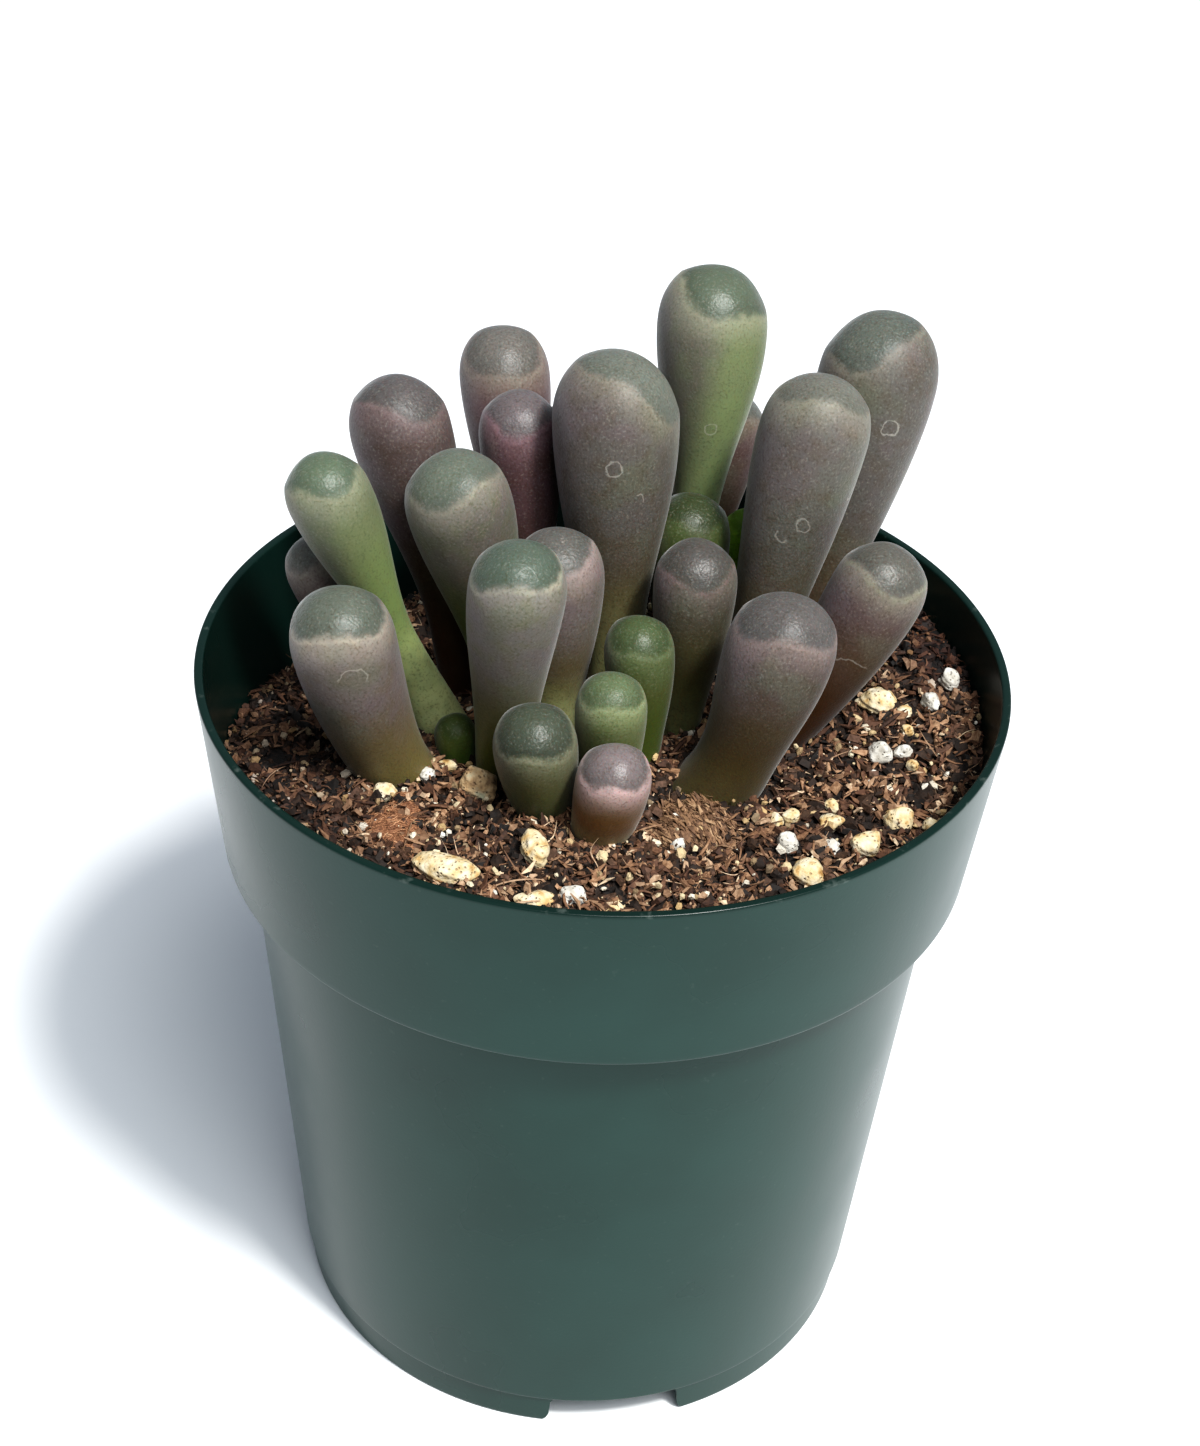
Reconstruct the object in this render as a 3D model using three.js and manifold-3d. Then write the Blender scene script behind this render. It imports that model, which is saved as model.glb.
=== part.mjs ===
// Potted baby toes: a clump of club-shaped succulent leaves with windowed tips, growing from a
// short rootstock in a gritty potting mix, in a round moulded nursery pot.
// Millimetres, +Z up. The origin is on the pot's axis, at the surface that the foot stands on.
import * as THREE from "three";
import { mergeVertices } from "three/addons/utils/BufferGeometryUtils.js";
import Module from "manifold-3d";

// Pot
const POT_HEIGHT = 86.8;
const RIM_RADIUS = 44.5; // outside, at the top of the rim band
const BAND_FOOT_RADIUS = 42.2; // outside, at the bottom of the rim band
const BAND_HEIGHT = 21.5;
const BODY_TOP_RADIUS = 39.4; // outside, under the ledge of the band
const BODY_FOOT_RADIUS = 34.5; // outside, at the line above the foot
const FOOT_HEIGHT = 4.4;
const FOOT_RADIUS = 33.8; // outside, where it stands
const WALL = 1.0;
const POT_SIDES = 60;
const NOTCH_COUNT = 3;
const NOTCH_AZIMUTH = -80; // degrees, the one in front
const NOTCH_WIDTH = 15.4;
const NOTCH_RISE = 4.2; // from the standing surface up to just under the floor
const DRAIN_RADIUS = 3.5;
const DRAIN_REACH = 24; // from the axis to the middle of a drain hole

// Potting mix
const SOIL_LEVEL = 77;
const SOIL_GAP = 0.35; // between the mix and the pot, and round each stalk and grain
const SOIL_SIDES = 40;
const SOIL_RINGS = 8;
const SOIL_CRUMB = 0.7; // height of the lumps in its surface
const SOIL_SLUMP = 1.5; // how much lower it lies at the wall
const SLUMP_REACH = 6; // width of the strip along the wall that lies lower

// Rootstock
const CROWN = 73.5; // level at which the leaves join it
const HEAD_DEPTH = 10;
const HEAD_SIDES = 14;
const HEAD_PROFILE = [[0, -1], [0.55, -0.8], [0.92, -0.2], [1, 0.3], [0.93, 1], [0, 1]];
const HEADS = [
  [-15, 1.5, 9, 12],
  [5, -5, 14.5, 14],
  [9, 16, 14.5, 14],
  [-8, 13.5, 5.5, 7],
]; // middle x, y and half widths in x, y
const SOCKET_DEPTH = 12; // how far up its stalk a leaf is cleared of the mix
const ROOT_TOP_RADIUS = 2.2;
const ROOT_TIP_RADIUS = 0.7;

// Leaves
const LEAF_SIDES = 12;
const SOCKET_SIDES = 8; // of the hole that a leaf stands in
const SOCKET_RINGS = 3; // lengths that the hole is bent in
const CLUB_TOP = 0.62; // length of the domed end, in club widths
const WINDOW_BULGE = 0.11; // how far the rounded triangle of the window leaves a circle
const WINDOW_FLATNESS = 0.15; // 0 keeps the dome, 1 cuts it flat
const FOOT_REACH = 16; // how far up from the crown a stalk's flare dies out
const SKINS = { grey: "#74746a", green: "#6f7d55", mauve: "#6b595b" };
// For each leaf: where it joins the crown [x, y], the bend that pulls its middle [x, y, z], its
// tip [x, y, z], the club's width, the stalk's width as a share of it, where the taper ends in
// club widths below the tip, the foot's width as a share of the club's, the way its window faces
// [x, y, z], the azimuth of one corner of the window, the window's opening angle, both in
// degrees, and the skin's colour.
const LEAVES = [
  [[7.5, 20], [10.7, 21, 95], [9.85, 25.5, 122.3], 12.2, 0.42, 2.5, 0.42, [0.25, -0.05, 1], -115, 50, "green"],
  [[21, 15], [26.1, 17, 92], [29.9, 25, 118], 13.3, 0.48, 2.8, 0.48, [-0.3, -0.15, 1], -100, 51, "grey"],
  [[16, 9], [18, 7.5, 92], [22.6, 12, 116.6], 12, 0.6, 2.9, 0.6, [0.15, 0.3, 1], 90, 50, "grey"],
  [[1.5, 7], [0.5, 8, 92], [-0.3, 12, 118.2], 13.9, 0.45, 2.7, 0.45, [0.5, 0.3, 1], -40, 55, "grey"],
  [[-9, 16.5], [-10.5, 20, 90], [-13.9, 30, 111.4], 10.4, 0.45, 2.7, 0.45, [-0.05, -0.2, 1], 90, 54, "mauve"],
  [[-7, 11], [-8.5, 12.5, 90], [-11.3, 17.2, 110], 9.2, 0.45, 2.7, 0.45, [0, -0.05, 1], -95, 54, "mauve"],
  [[-16, 9], [-17.7, 9, 88], [-25.4, 14.5, 112.4], 11.1, 0.42, 2.7, 0.42, [0.05, 0.15, 1], -60, 54, "mauve"],
  [[-11.5, 4.5], [-12.7, 6, 88], [-17.7, 1.3, 109.8], 11.4, 0.38, 2.7, 0.38, [-0.3, -0.05, 1], -105, 55, "grey"],
  [[-16.5, 0.7], [-20.6, 0, 82], [-31.6, -1, 110.5], 9, 0.45, 2.7, 0.64, [-0.2, -0.05, 1], -60, 56, "green"],
  [[-20.4, -7.3], [-25.4, -9.8, 80], [-28, -13, 101.4], 11.1, 0.7, 2.8, 0.7, [-0.1, -0.05, 1], 90, 54, "grey"],
  [[-21, 6.5], [-28, 6, 80], [-32.8, 5, 97], 7.8, 0.5, 2.7, 0.5, [-0.3, 0, 1], 0, 54, "mauve"],
  [[-10.3, -6.5], [-10.7, -8, 86], [-8.7, -14.1, 108.4], 10.2, 0.66, 2.8, 0.6, [-0.1, -0.1, 1], 90, 55, "grey"],
  [[-5, -1], [-6, -1, 84], [-5.4, -1.7, 103.5], 10.4, 0.5, 2.8, 0.5, [-0.2, 0.1, 1], -60, 56, "grey"],
  [[8.5, 13], [9, 13, 84], [8.7, 14.3, 99.6], 9.2, 0.52, 2.7, 0.52, [0, 0.1, 1], -60, 54, "green"],
  [[13.5, 17.5], [14.5, 18, 84], [15.8, 18.5, 95.5], 5.5, 0.6, 2.7, 0.6, [0, 0, 1], 0, 54, "green"],
  [[11, 27.5], [11.5, 28, 88], [13.8, 31, 103.8], 8, 0.5, 2.7, 0.5, [0.1, 0.1, 1], 0, 54, "mauve"],
  [[1, 20], [0, 20.5, 88], [-4.6, 22.5, 107.6], 8, 0.5, 2.7, 0.5, [0, 0, 1], 0, 54, "mauve"],
  [[8.5, 1], [9.2, 0, 84], [9.6, 2, 101.1], 9.1, 0.52, 2.7, 0.52, [0, -0.1, 1], -75, 56, "grey"],
  [[4.6, -5.8], [4.6, -5, 82], [3.3, -5, 95.2], 7.6, 0.52, 2.7, 0.52, [0, -0.15, 1], 90, 54, "green"],
  [[1.2, -10.5], [1.1, -10.5, 80], [1, -13.5, 92.9], 7.6, 0.7, 2.7, 0.7, [0, -0.1, 1], 90, 54, "green"],
  [[-5.3, -13], [-6, -14.5, 78], [-7.1, -17.5, 91], 8.9, 0.58, 2.3, 0.58, [-0.05, -0.33, 1], 90, 58, "green"],
  [[0, -17], [0.8, -18.7, 77], [2.2, -20.8, 89.1], 7.9, 0.85, 2, 0.78, [0, -0.2, 1], 90, 58, "grey"],
  [[11.1, -8], [15.6, -11.4, 79.3], [19.6, -9, 101.8], 11.7, 0.58, 2.3, 0.82, [0.1, 0.1, 1], 90, 57, "grey"],
  [[16.2, 0.7], [22.2, -1, 78.5], [30.9, 0, 102.6], 10.2, 0.62, 2.8, 0.62, [0.3, 0.05, 1], -80, 55, "grey"],
  [[-15.2, -4.2], [-15.6, -4.4, 75], [-16, -5.3, 81.2], 4.7, 0.56, 2.7, 0.56, [0, -0.2, 1], 0, 50, "green"],
];

// The larger mineral grains on the mix: kind, middle [x, y, z], size [x, y, z], turn in degrees.
const GRAINS = [
  ["pumice", [-15, -29, 78.8], [6.8, 4, 3.4], -15],
  ["pumice", [-6, -24.4, 78.4], [3, 5, 3], 8],
  ["pumice", [-12.7, -13.6, 78.2], [4.4, 3.6, 4.6], 0],
  ["pumice", [-22.6, -14.3, 77.3], [2.8, 2.4, 2.2], 30],
  ["perlite", [-1.8, -31, 77.8], [2.9, 2.6, 2.4], 0],
  ["pumice", [-5.6, -31.4, 77.5], [4.4, 2.8, 1.8], 5],
  ["pumice", [1.9, -31.4, 77.3], [3.4, 2.4, 1.8], -10],
  ["pumice", [31, 3, 80.4], [4.8, 4, 3], 20],
  ["perlite", [39.2, 6.6, 81.3], [2.6, 2.5, 2.4], 0],
  ["perlite", [36.8, 3.4, 80.7], [2, 2.9, 2], 20],
  ["perlite", [30.8, -4.8, 79.3], [2.7, 2.8, 2.4], 0],
  ["pumice", [32.2, -16.1, 78.3], [3.5, 3.2, 3.3], 15],
  ["pumice", [28.6, -19.6, 77.8], [3.3, 3.1, 3.2], 0],
  ["pumice", [25, -16.2, 77.8], [2.9, 2.5, 2.1], 25],
  ["pumice", [22.3, -24.2, 77.4], [3.8, 3.3, 2.6], -20],
  ["perlite", [20.4, -19.8, 77.6], [2.4, 2.4, 2.4], 40],
];

// Main roots: the end of each [x, y, z]; they leave the crown's middle.
const ROOTS = [
  [-16, -9, 34],
  [-6, 18, 28],
  [12, -17, 30],
  [19, 10, 36],
  [2, -3, 20],
  [-20, 8, 46],
];
const ROOT_START = [1, 1, 68];

const wasm = await Module();
wasm.setup();

function solid(geometry) {
  const bare = geometry.clone();
  for (const name of Object.keys(bare.attributes)) {
    if (name !== "position") bare.deleteAttribute(name);
  }
  const merged = mergeVertices(bare, 1e-4);
  return new wasm.Manifold(
    new wasm.Mesh({
      numProp: 3,
      vertProperties: new Float32Array(merged.attributes.position.array),
      triVerts: new Uint32Array(merged.index.array),
    }),
  );
}

function geometryOf(manifold) {
  const mesh = manifold.getMesh();
  const geometry = new THREE.BufferGeometry();
  geometry.setAttribute("position", new THREE.BufferAttribute(mesh.vertProperties, 3));
  geometry.setIndex(new THREE.BufferAttribute(mesh.triVerts, 1));
  return geometry;
}

function largest(manifold) {
  return manifold.decompose().reduce((a, b) => (a.volume() > b.volume() ? a : b));
}

function finish(color, roughness) {
  return new THREE.MeshStandardMaterial({ color, roughness, metalness: 0 });
}

function piece(name, geometry, material) {
  const mesh = new THREE.Mesh(geometry, material);
  mesh.name = name;
  return mesh;
}

const vec = (a) => new THREE.Vector3(...a);

// A turned profile [radius, distance] bent along a curve; distances before 0 run straight back.
function bent(profile, sides, curve) {
  const turned = new THREE.LatheGeometry(
    profile.map(([r, s]) => new THREE.Vector2(r, s)),
    sides,
  );
  const length = curve.getLength();
  const place = turned.attributes.position;
  const p = new THREE.Vector3();
  const upright = new THREE.Vector3(0, 1, 0.2);
  for (let i = 0; i < place.count; i++) {
    p.fromBufferAttribute(place, i);
    const u = Math.min(Math.max(p.y / length, 0), 1);
    const along = curve.getTangentAt(u);
    const across = along.clone().cross(upright).normalize();
    const back = across.clone().cross(along);
    const spot = curve.getPointAt(u);
    spot.addScaledVector(along, p.y - u * length);
    spot.addScaledVector(across, p.x).addScaledVector(back, p.z);
    place.setXYZ(i, spot.x, spot.y, spot.z);
  }
  return turned;
}

// Pot: one turned shell, with the foot notched and the floor drilled.
function pot() {
  const ledge = POT_HEIGHT - BAND_HEIGHT;
  const profile = [
    [0, FOOT_HEIGHT],
    [FOOT_RADIUS - 1.3, FOOT_HEIGHT],
    [FOOT_RADIUS - 1.1, 0.3],
    [FOOT_RADIUS - 0.9, 0],
    [FOOT_RADIUS - 0.2, 0],
    [FOOT_RADIUS, 0.3],
    [BODY_FOOT_RADIUS - 0.4, FOOT_HEIGHT],
    [BODY_FOOT_RADIUS, FOOT_HEIGHT + 0.2],
    [BODY_TOP_RADIUS, ledge],
    [BAND_FOOT_RADIUS - 0.3, ledge],
    [BAND_FOOT_RADIUS, ledge + 0.3],
    [RIM_RADIUS, POT_HEIGHT - 0.4],
    [RIM_RADIUS - 0.3, POT_HEIGHT],
    [RIM_RADIUS - WALL + 0.2, POT_HEIGHT],
    [RIM_RADIUS - WALL, POT_HEIGHT - 0.4],
    [BAND_FOOT_RADIUS - WALL, ledge + WALL],
    [BODY_TOP_RADIUS - WALL, ledge + WALL],
    [BODY_FOOT_RADIUS - WALL, FOOT_HEIGHT + WALL],
    [0, FOOT_HEIGHT + WALL],
  ];
  const shell = new THREE.LatheGeometry(
    profile.map(([r, z]) => new THREE.Vector2(r, z)),
    POT_SIDES,
  );
  shell.rotateX(Math.PI / 2);
  let body = solid(shell);
  for (let i = 0; i < NOTCH_COUNT; i++) {
    const turn = THREE.MathUtils.degToRad(NOTCH_AZIMUTH + (360 / NOTCH_COUNT) * i);
    const half = NOTCH_WIDTH / 2;
    const outline = new THREE.Shape();
    outline.moveTo(-half - 1, -1);
    outline.lineTo(half + 1, -1);
    outline.lineTo(half + 0.8, 0.4);
    outline.lineTo(half, 1.4);
    outline.lineTo(half - 0.2, NOTCH_RISE - 0.8);
    outline.lineTo(half - 1, NOTCH_RISE);
    outline.lineTo(-half + 1, NOTCH_RISE);
    outline.lineTo(-half + 0.2, NOTCH_RISE - 0.8);
    outline.lineTo(-half, 1.4);
    outline.lineTo(-half - 0.8, 0.4);
    const notch = new THREE.ExtrudeGeometry(outline, { depth: 10, bevelEnabled: false });
    notch.rotateX(Math.PI / 2);
    notch.translate(0, -28, 0);
    notch.rotateZ(turn + Math.PI / 2);
    body = body.subtract(solid(notch));
    const drain = new THREE.CylinderGeometry(DRAIN_RADIUS, DRAIN_RADIUS, 4, 16);
    drain.rotateX(Math.PI / 2);
    drain.translate(
      DRAIN_REACH * Math.cos(turn),
      DRAIN_REACH * Math.sin(turn),
      FOOT_HEIGHT + WALL / 2,
    );
    body = body.subtract(solid(drain));
  }
  return body;
}

// Leaf: a club on a thinner stalk, with a flattened, rounded-triangular window on its end.
function leafCurve([root, bend, tip]) {
  return new THREE.QuadraticBezierCurve3(vec([...root, CROWN]), vec(bend), vec(tip));
}

function ease(t) {
  const k = THREE.MathUtils.clamp(t, 0, 1);
  return k * k * (3 - 2 * k);
}

function leafRadius(below, length, [, , , width, stalk, taper, foot]) {
  const u = below / width;
  if (u < CLUB_TOP) {
    return (width / 2) * (1 - (1 - u / CLUB_TOP) ** 2.2) ** (1 / 2.1);
  }
  const thinned = ease((u - CLUB_TOP) / (taper - CLUB_TOP));
  const flare = (foot - stalk) * (1 - ease((length - below) / FOOT_REACH));
  return (width / 2) * (1 + (stalk + flare - 1) * thinned);
}

// The hole that a leaf stands in: its stalk, a little wider, without the club.
function socket(row) {
  const curve = leafCurve(row);
  const length = curve.getLength();
  const profile = [[0, -SOIL_GAP]];
  for (let i = 0; i <= SOCKET_RINGS; i++) {
    const s = Math.min(SOCKET_DEPTH, length * 0.6) * (i / SOCKET_RINGS);
    const r = leafRadius(length - s, length, row) / Math.cos(Math.PI / SOCKET_SIDES);
    profile.push([r + SOIL_GAP, i === 0 ? -SOIL_GAP : s]);
  }
  profile.push([0, profile.at(-1)[1]]);
  return bent(profile, SOCKET_SIDES, curve);
}

function leaf(row) {
  const [, , , width, , , , facing, corner, opening] = row;
  const curve = leafCurve(row);
  const length = curve.getLength();
  const dome = width * CLUB_TOP;
  const steps = length > 30 ? 6 : 4;
  const profile = [[0, 0]];
  for (let i = 0; i <= steps; i++) {
    const s = ((length - dome) * i) / steps;
    profile.push([leafRadius(length - s, length, row) * 1.01, s]);
  }
  for (const share of [0.62, 0.36, 0.17, 0.05]) {
    const below = dome * share;
    profile.push([leafRadius(below, length, row) * 1.01, length - below]);
  }
  profile.push([0, length]);
  const skin = bent(profile, LEAF_SIDES, curve);

  const middle = curve.getPointAt(1 - dome / length);
  const axis = curve.getTangentAt(1);
  const normal = vec(facing).normalize();
  const azimuth = THREE.MathUtils.degToRad(corner);
  const toCorner = new THREE.Vector3(Math.cos(azimuth), Math.sin(azimuth), 0);
  toCorner.addScaledVector(normal, -toCorner.dot(normal)).normalize();
  const side = normal.clone().cross(toCorner);
  // The window's border in a direction round it: how far it opens, and how high its plane is.
  const borderAt = (phi) => {
    const edge = THREE.MathUtils.degToRad(opening) * (1 + WINDOW_BULGE * Math.cos(3 * phi));
    const way = normal.clone().multiplyScalar(Math.cos(edge));
    way.addScaledVector(toCorner, Math.sin(edge) * Math.cos(phi));
    way.addScaledVector(side, Math.sin(edge) * Math.sin(phi));
    const k = Math.max(way.dot(axis), 0);
    const reach = 1 / Math.sqrt(k ** 2 / dome ** 2 + (1 - k ** 2) / (width / 2) ** 2);
    return { edge, level: reach * Math.cos(edge) };
  };
  let levels = 0;
  for (let i = 0; i < LEAF_SIDES; i++) levels += borderAt((2 * Math.PI * i) / LEAF_SIDES).level;
  const centre = levels / LEAF_SIDES;
  const place = skin.attributes.position;
  const p = new THREE.Vector3();
  for (let i = 0; i < place.count; i++) {
    p.fromBufferAttribute(place, i).sub(middle);
    const far = p.length();
    if (far < 0.1 || far > 1.2 * width) continue;
    p.divideScalar(far);
    const angle = Math.acos(THREE.MathUtils.clamp(p.dot(normal), -1, 1));
    const { edge, level } = borderAt(Math.atan2(p.dot(side), p.dot(toCorner)));
    if (angle > edge) continue;
    const flat = THREE.MathUtils.lerp(centre, level, ease(angle / edge)) / Math.cos(angle);
    const now = far + WINDOW_FLATNESS * Math.min(flat - far, 0);
    p.multiplyScalar(now).add(middle);
    place.setXYZ(i, p.x, p.y, p.z);
  }
  return skin;
}

// Rootstock: the low, lumpy heads that the leaves sit on, and the main roots under them.
function rootstock(grow) {
  let body = null;
  const join = (geometry) => {
    const next = solid(geometry);
    body = body ? body.add(next) : next;
  };
  for (const [x, y, wide, deep] of HEADS) {
    const head = new THREE.LatheGeometry(
      HEAD_PROFILE.map(([r, z]) => new THREE.Vector2(r, z)),
      HEAD_SIDES,
    );
    head.rotateX(Math.PI / 2);
    head.scale(wide + grow, deep + grow, HEAD_DEPTH / 2 + grow);
    head.translate(x, y, CROWN + 0.1 - HEAD_DEPTH / 2);
    join(head);
  }
  for (const end of ROOTS) {
    const start = vec(ROOT_START);
    const tip = vec(end);
    const bend = vec([end[0] * 0.9, end[1] * 0.9, 58]);
    const curve = new THREE.QuadraticBezierCurve3(start, bend, tip);
    const long = curve.getLength();
    const profile = [[0, 0]];
    for (let i = 0; i <= 4; i++) {
      const r = THREE.MathUtils.lerp(ROOT_TOP_RADIUS, ROOT_TIP_RADIUS, i / 4);
      profile.push([r + grow, (long * i) / 4 + (i === 4 ? grow : 0)]);
    }
    profile.push([0, long + grow]);
    join(bent(profile, 6, curve));
  }
  return body;
}

// Potting mix: a turned plug that follows the pot's inside, with an uneven top.
function soilHeight(x, y) {
  const slope = 0.07 * x + 0.0038 * x * y;
  const wide = Math.sin(0.42 * x + 1.3) * Math.cos(0.37 * y - 0.6);
  const fine = Math.sin(0.93 * x - 0.5 * y) * Math.cos(0.81 * y + 0.4 * x + 2);
  const toWall = potInside(SOIL_LEVEL) - Math.hypot(x, y);
  const slump = SOIL_SLUMP * (1 - ease(toWall / SLUMP_REACH));
  return SOIL_LEVEL + slope - slump + SOIL_CRUMB * (0.6 * wide + 0.4 * fine);
}

function potInside(z) {
  const low = POT_HEIGHT - BAND_HEIGHT + WALL;
  const share = (z - low) / (POT_HEIGHT - 0.4 - low);
  return THREE.MathUtils.lerp(BAND_FOOT_RADIUS - WALL, RIM_RADIUS - WALL, share);
}

function soilPlug() {
  const ledge = POT_HEIGHT - BAND_HEIGHT + WALL;
  const profile = [
    [0, FOOT_HEIGHT + WALL + SOIL_GAP],
    [BODY_FOOT_RADIUS - WALL - SOIL_GAP, FOOT_HEIGHT + WALL + SOIL_GAP],
    [BODY_TOP_RADIUS - WALL - SOIL_GAP, ledge + SOIL_GAP],
    [BAND_FOOT_RADIUS - WALL - SOIL_GAP, ledge + SOIL_GAP],
  ];
  const edge = potInside(SOIL_LEVEL) - SOIL_GAP;
  for (let i = SOIL_RINGS; i >= 1; i--) profile.push([(edge * i) / SOIL_RINGS, SOIL_LEVEL]);
  profile.push([0, SOIL_LEVEL]);
  const plug = new THREE.LatheGeometry(
    profile.map(([r, z]) => new THREE.Vector2(r, z)),
    SOIL_SIDES,
  );
  plug.rotateX(Math.PI / 2);
  const place = plug.attributes.position;
  for (let i = 0; i < place.count; i++) {
    let x = place.getX(i);
    let y = place.getY(i);
    if (Math.abs(place.getZ(i) - SOIL_LEVEL) > 0.01) continue;
    const z = soilHeight(x, y);
    const r = Math.hypot(x, y);
    if (r > edge - 0.01) {
      const wall = potInside(z) - SOIL_GAP;
      x *= wall / r;
      y *= wall / r;
    }
    place.setXYZ(i, x, y, z);
  }
  return plug;
}

// Grain: a worn, knobbly lump.
function grain([, middle, size, turn], seed, grow = 0) {
  const lump = new THREE.IcosahedronGeometry(1, 1);
  const place = lump.attributes.position;
  for (let i = 0; i < place.count; i++) {
    const [x, y, z] = [place.getX(i), place.getY(i), place.getZ(i)];
    const knob = Math.sin(3.1 * x + seed) + Math.sin(2.7 * y + 1.7 * seed) + Math.sin(3.7 * z - seed);
    const k = 0.93 + 0.07 * knob * 0.7;
    place.setXYZ(i, x * k, y * k, z * k);
  }
  lump.scale(size[0] / 2 + grow, size[1] / 2 + grow, size[2] / 2 + grow);
  lump.rotateZ(THREE.MathUtils.degToRad(turn));
  lump.translate(...middle);
  return lump;
}

const model = new THREE.Group();
model.add(piece("pot", geometryOf(pot()), finish("#1f4038", 0.45)));

const cuts = LEAVES.map((row) => solid(socket(row)));
let crown = rootstock(0);
let mix = solid(soilPlug()).subtract(rootstock(SOIL_GAP + 0.1));
for (const cut of cuts) {
  crown = crown.subtract(cut);
  mix = mix.subtract(cut);
}
GRAINS.forEach((row, i) => {
  mix = mix.subtract(solid(grain(row, i, SOIL_GAP)));
});
model.add(piece("rootstock", geometryOf(largest(crown)), finish("#6b4a30", 0.9)));
model.add(piece("potting_mix", geometryOf(largest(mix)), finish("#4a2e22", 1)));

LEAVES.forEach((row, i) => {
  const name = "leaf_" + String(i + 1).padStart(2, "0");
  model.add(piece(name, geometryOf(solid(leaf(row))), finish(SKINS[row.at(-1)], 0.6)));
});

const STONES = { pumice: "#d9c58f", perlite: "#e9e6de" };
const counts = { pumice: 0, perlite: 0 };
GRAINS.forEach((row, i) => {
  const kind = row[0];
  counts[kind] += 1;
  const name = kind + "_grain_" + String(counts[kind]).padStart(2, "0");
  model.add(piece(name, geometryOf(solid(grain(row, i))), finish(STONES[kind], 0.95)));
});

export default model;
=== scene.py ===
import math

import bmesh
import bpy
import numpy as np
from mathutils import Matrix, Vector


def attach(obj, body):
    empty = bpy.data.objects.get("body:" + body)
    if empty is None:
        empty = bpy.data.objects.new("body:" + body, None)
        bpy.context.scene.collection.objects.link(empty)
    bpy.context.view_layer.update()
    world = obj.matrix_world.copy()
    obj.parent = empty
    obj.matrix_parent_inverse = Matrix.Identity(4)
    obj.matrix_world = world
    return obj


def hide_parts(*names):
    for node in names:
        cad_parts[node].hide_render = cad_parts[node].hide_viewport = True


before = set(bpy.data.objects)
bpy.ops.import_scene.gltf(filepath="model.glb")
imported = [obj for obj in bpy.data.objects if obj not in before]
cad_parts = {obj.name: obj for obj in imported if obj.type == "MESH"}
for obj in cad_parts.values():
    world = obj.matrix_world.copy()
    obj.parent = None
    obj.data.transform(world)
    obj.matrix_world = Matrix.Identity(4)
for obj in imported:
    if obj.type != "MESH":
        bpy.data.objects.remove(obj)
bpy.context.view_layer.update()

# Pot: one thin shell of polypropylene, injection moulded, with a stiffening band round its rim,
# a ledge under the band, and a low foot with notches that let the drained water out.
POT_HEIGHT = 86.8
RIM_RADIUS = 44.5
BAND_FOOT_RADIUS = 42.2
LEDGE = 65.3
BODY_TOP_RADIUS = 39.4
BODY_FOOT_RADIUS = 34.5
FOOT_HEIGHT = 4.4
FOOT_RADIUS = 33.8
WALL = 1.0
POT_SIDES = 240
NOTCH_AZIMUTHS = (-80, 40, 160)
NOTCH_HALF_WIDTH = 7.7
NOTCH_RISE = 4.2
NOTCH_REACHES = (28, 38)
DRAIN_RADIUS = 3.5
DRAIN_REACH = 24
DRILL_SIDES = 48
DRILL_FOOT = 3
DRILL_TOP = 7
INSIDE_FROM = LEDGE + 0.7


def colour(code):
    """An sRGB hex code as linear RGBA."""
    parts = [int(code[i : i + 2], 16) / 255 for i in (1, 3, 5)]
    return (*[c / 12.92 if c <= 0.04045 else ((c + 0.055) / 1.055) ** 2.4 for c in parts], 1)


def add(tree, kind, settings=None, links=None, stops=None):
    """Adds a node, or takes one that is there, with its settings and links. A link is a value,
    a node (its first output), (node, output name), or a list for the inputs of one name."""
    made = kind if isinstance(kind, bpy.types.Node) else tree.nodes.new(kind)
    for name, value in (settings or {}).items():
        setattr(made, name, value)
    for name, given in (links or {}).items():
        sockets = [s for s in made.inputs if s.enabled and s.name == name]
        values = given if isinstance(given, list) else [given]
        for socket, value in zip(sockets[: len(values)], values, strict=True):
            named = isinstance(value, tuple) and isinstance(value[0], bpy.types.Node)
            maker, output = value if named else (value, None)
            if isinstance(maker, bpy.types.Node):
                found = [s for s in maker.outputs if s.enabled and output in (None, s.name)]
                tree.links.new(found[0], socket)
            else:
                socket.default_value = value
    if stops:
        ramp = made.color_ramp
        while len(ramp.elements) < len(stops):
            ramp.elements.new(0.5)
        for element, (place, tint) in zip(ramp.elements, stops):
            element.position, element.color = place, colour(tint)
    return made


def new_material(name):
    """A material, its node tree and its surface shader."""
    made = bpy.data.materials.new(name)
    made.use_nodes = True
    return made, made.node_tree, made.node_tree.nodes["Principled BSDF"]


def in_millimetres(tree):
    """Object coordinates counted in millimetres."""
    place = add(tree, "ShaderNodeTexCoord")
    counted = {"Vector": (place, "Object"), "Scale": 1000}
    return add(tree, "ShaderNodeVectorMath", {"operation": "SCALE"}, counted)


def noise(tree, place, scale, detail):
    """Cloudy noise, from 0 to 1 and mostly near a half."""
    links = {"Vector": place, "Scale": scale, "Detail": detail}
    return add(tree, "ShaderNodeTexNoise", links=links)


def math_node(tree, operation, *values, **settings):
    """Arithmetic on one to three values."""
    settings = {"operation": operation} | settings
    return add(tree, "ShaderNodeMath", settings, {"Value": list(values)})


def ranged(tree, *span, **settings):
    """A value moved from one range onto another: the value, from low, high, to low, high."""
    names = ("Value", "From Min", "From Max", "To Min", "To Max")
    return add(tree, "ShaderNodeMapRange", settings, dict(zip(names, span, strict=True)))


def ramped(tree, factor, stops):
    """A colour picked along a ramp of (place, hex code) stops."""
    return add(tree, "ShaderNodeValToRGB", links={"Fac": factor}, stops=stops)


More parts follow.
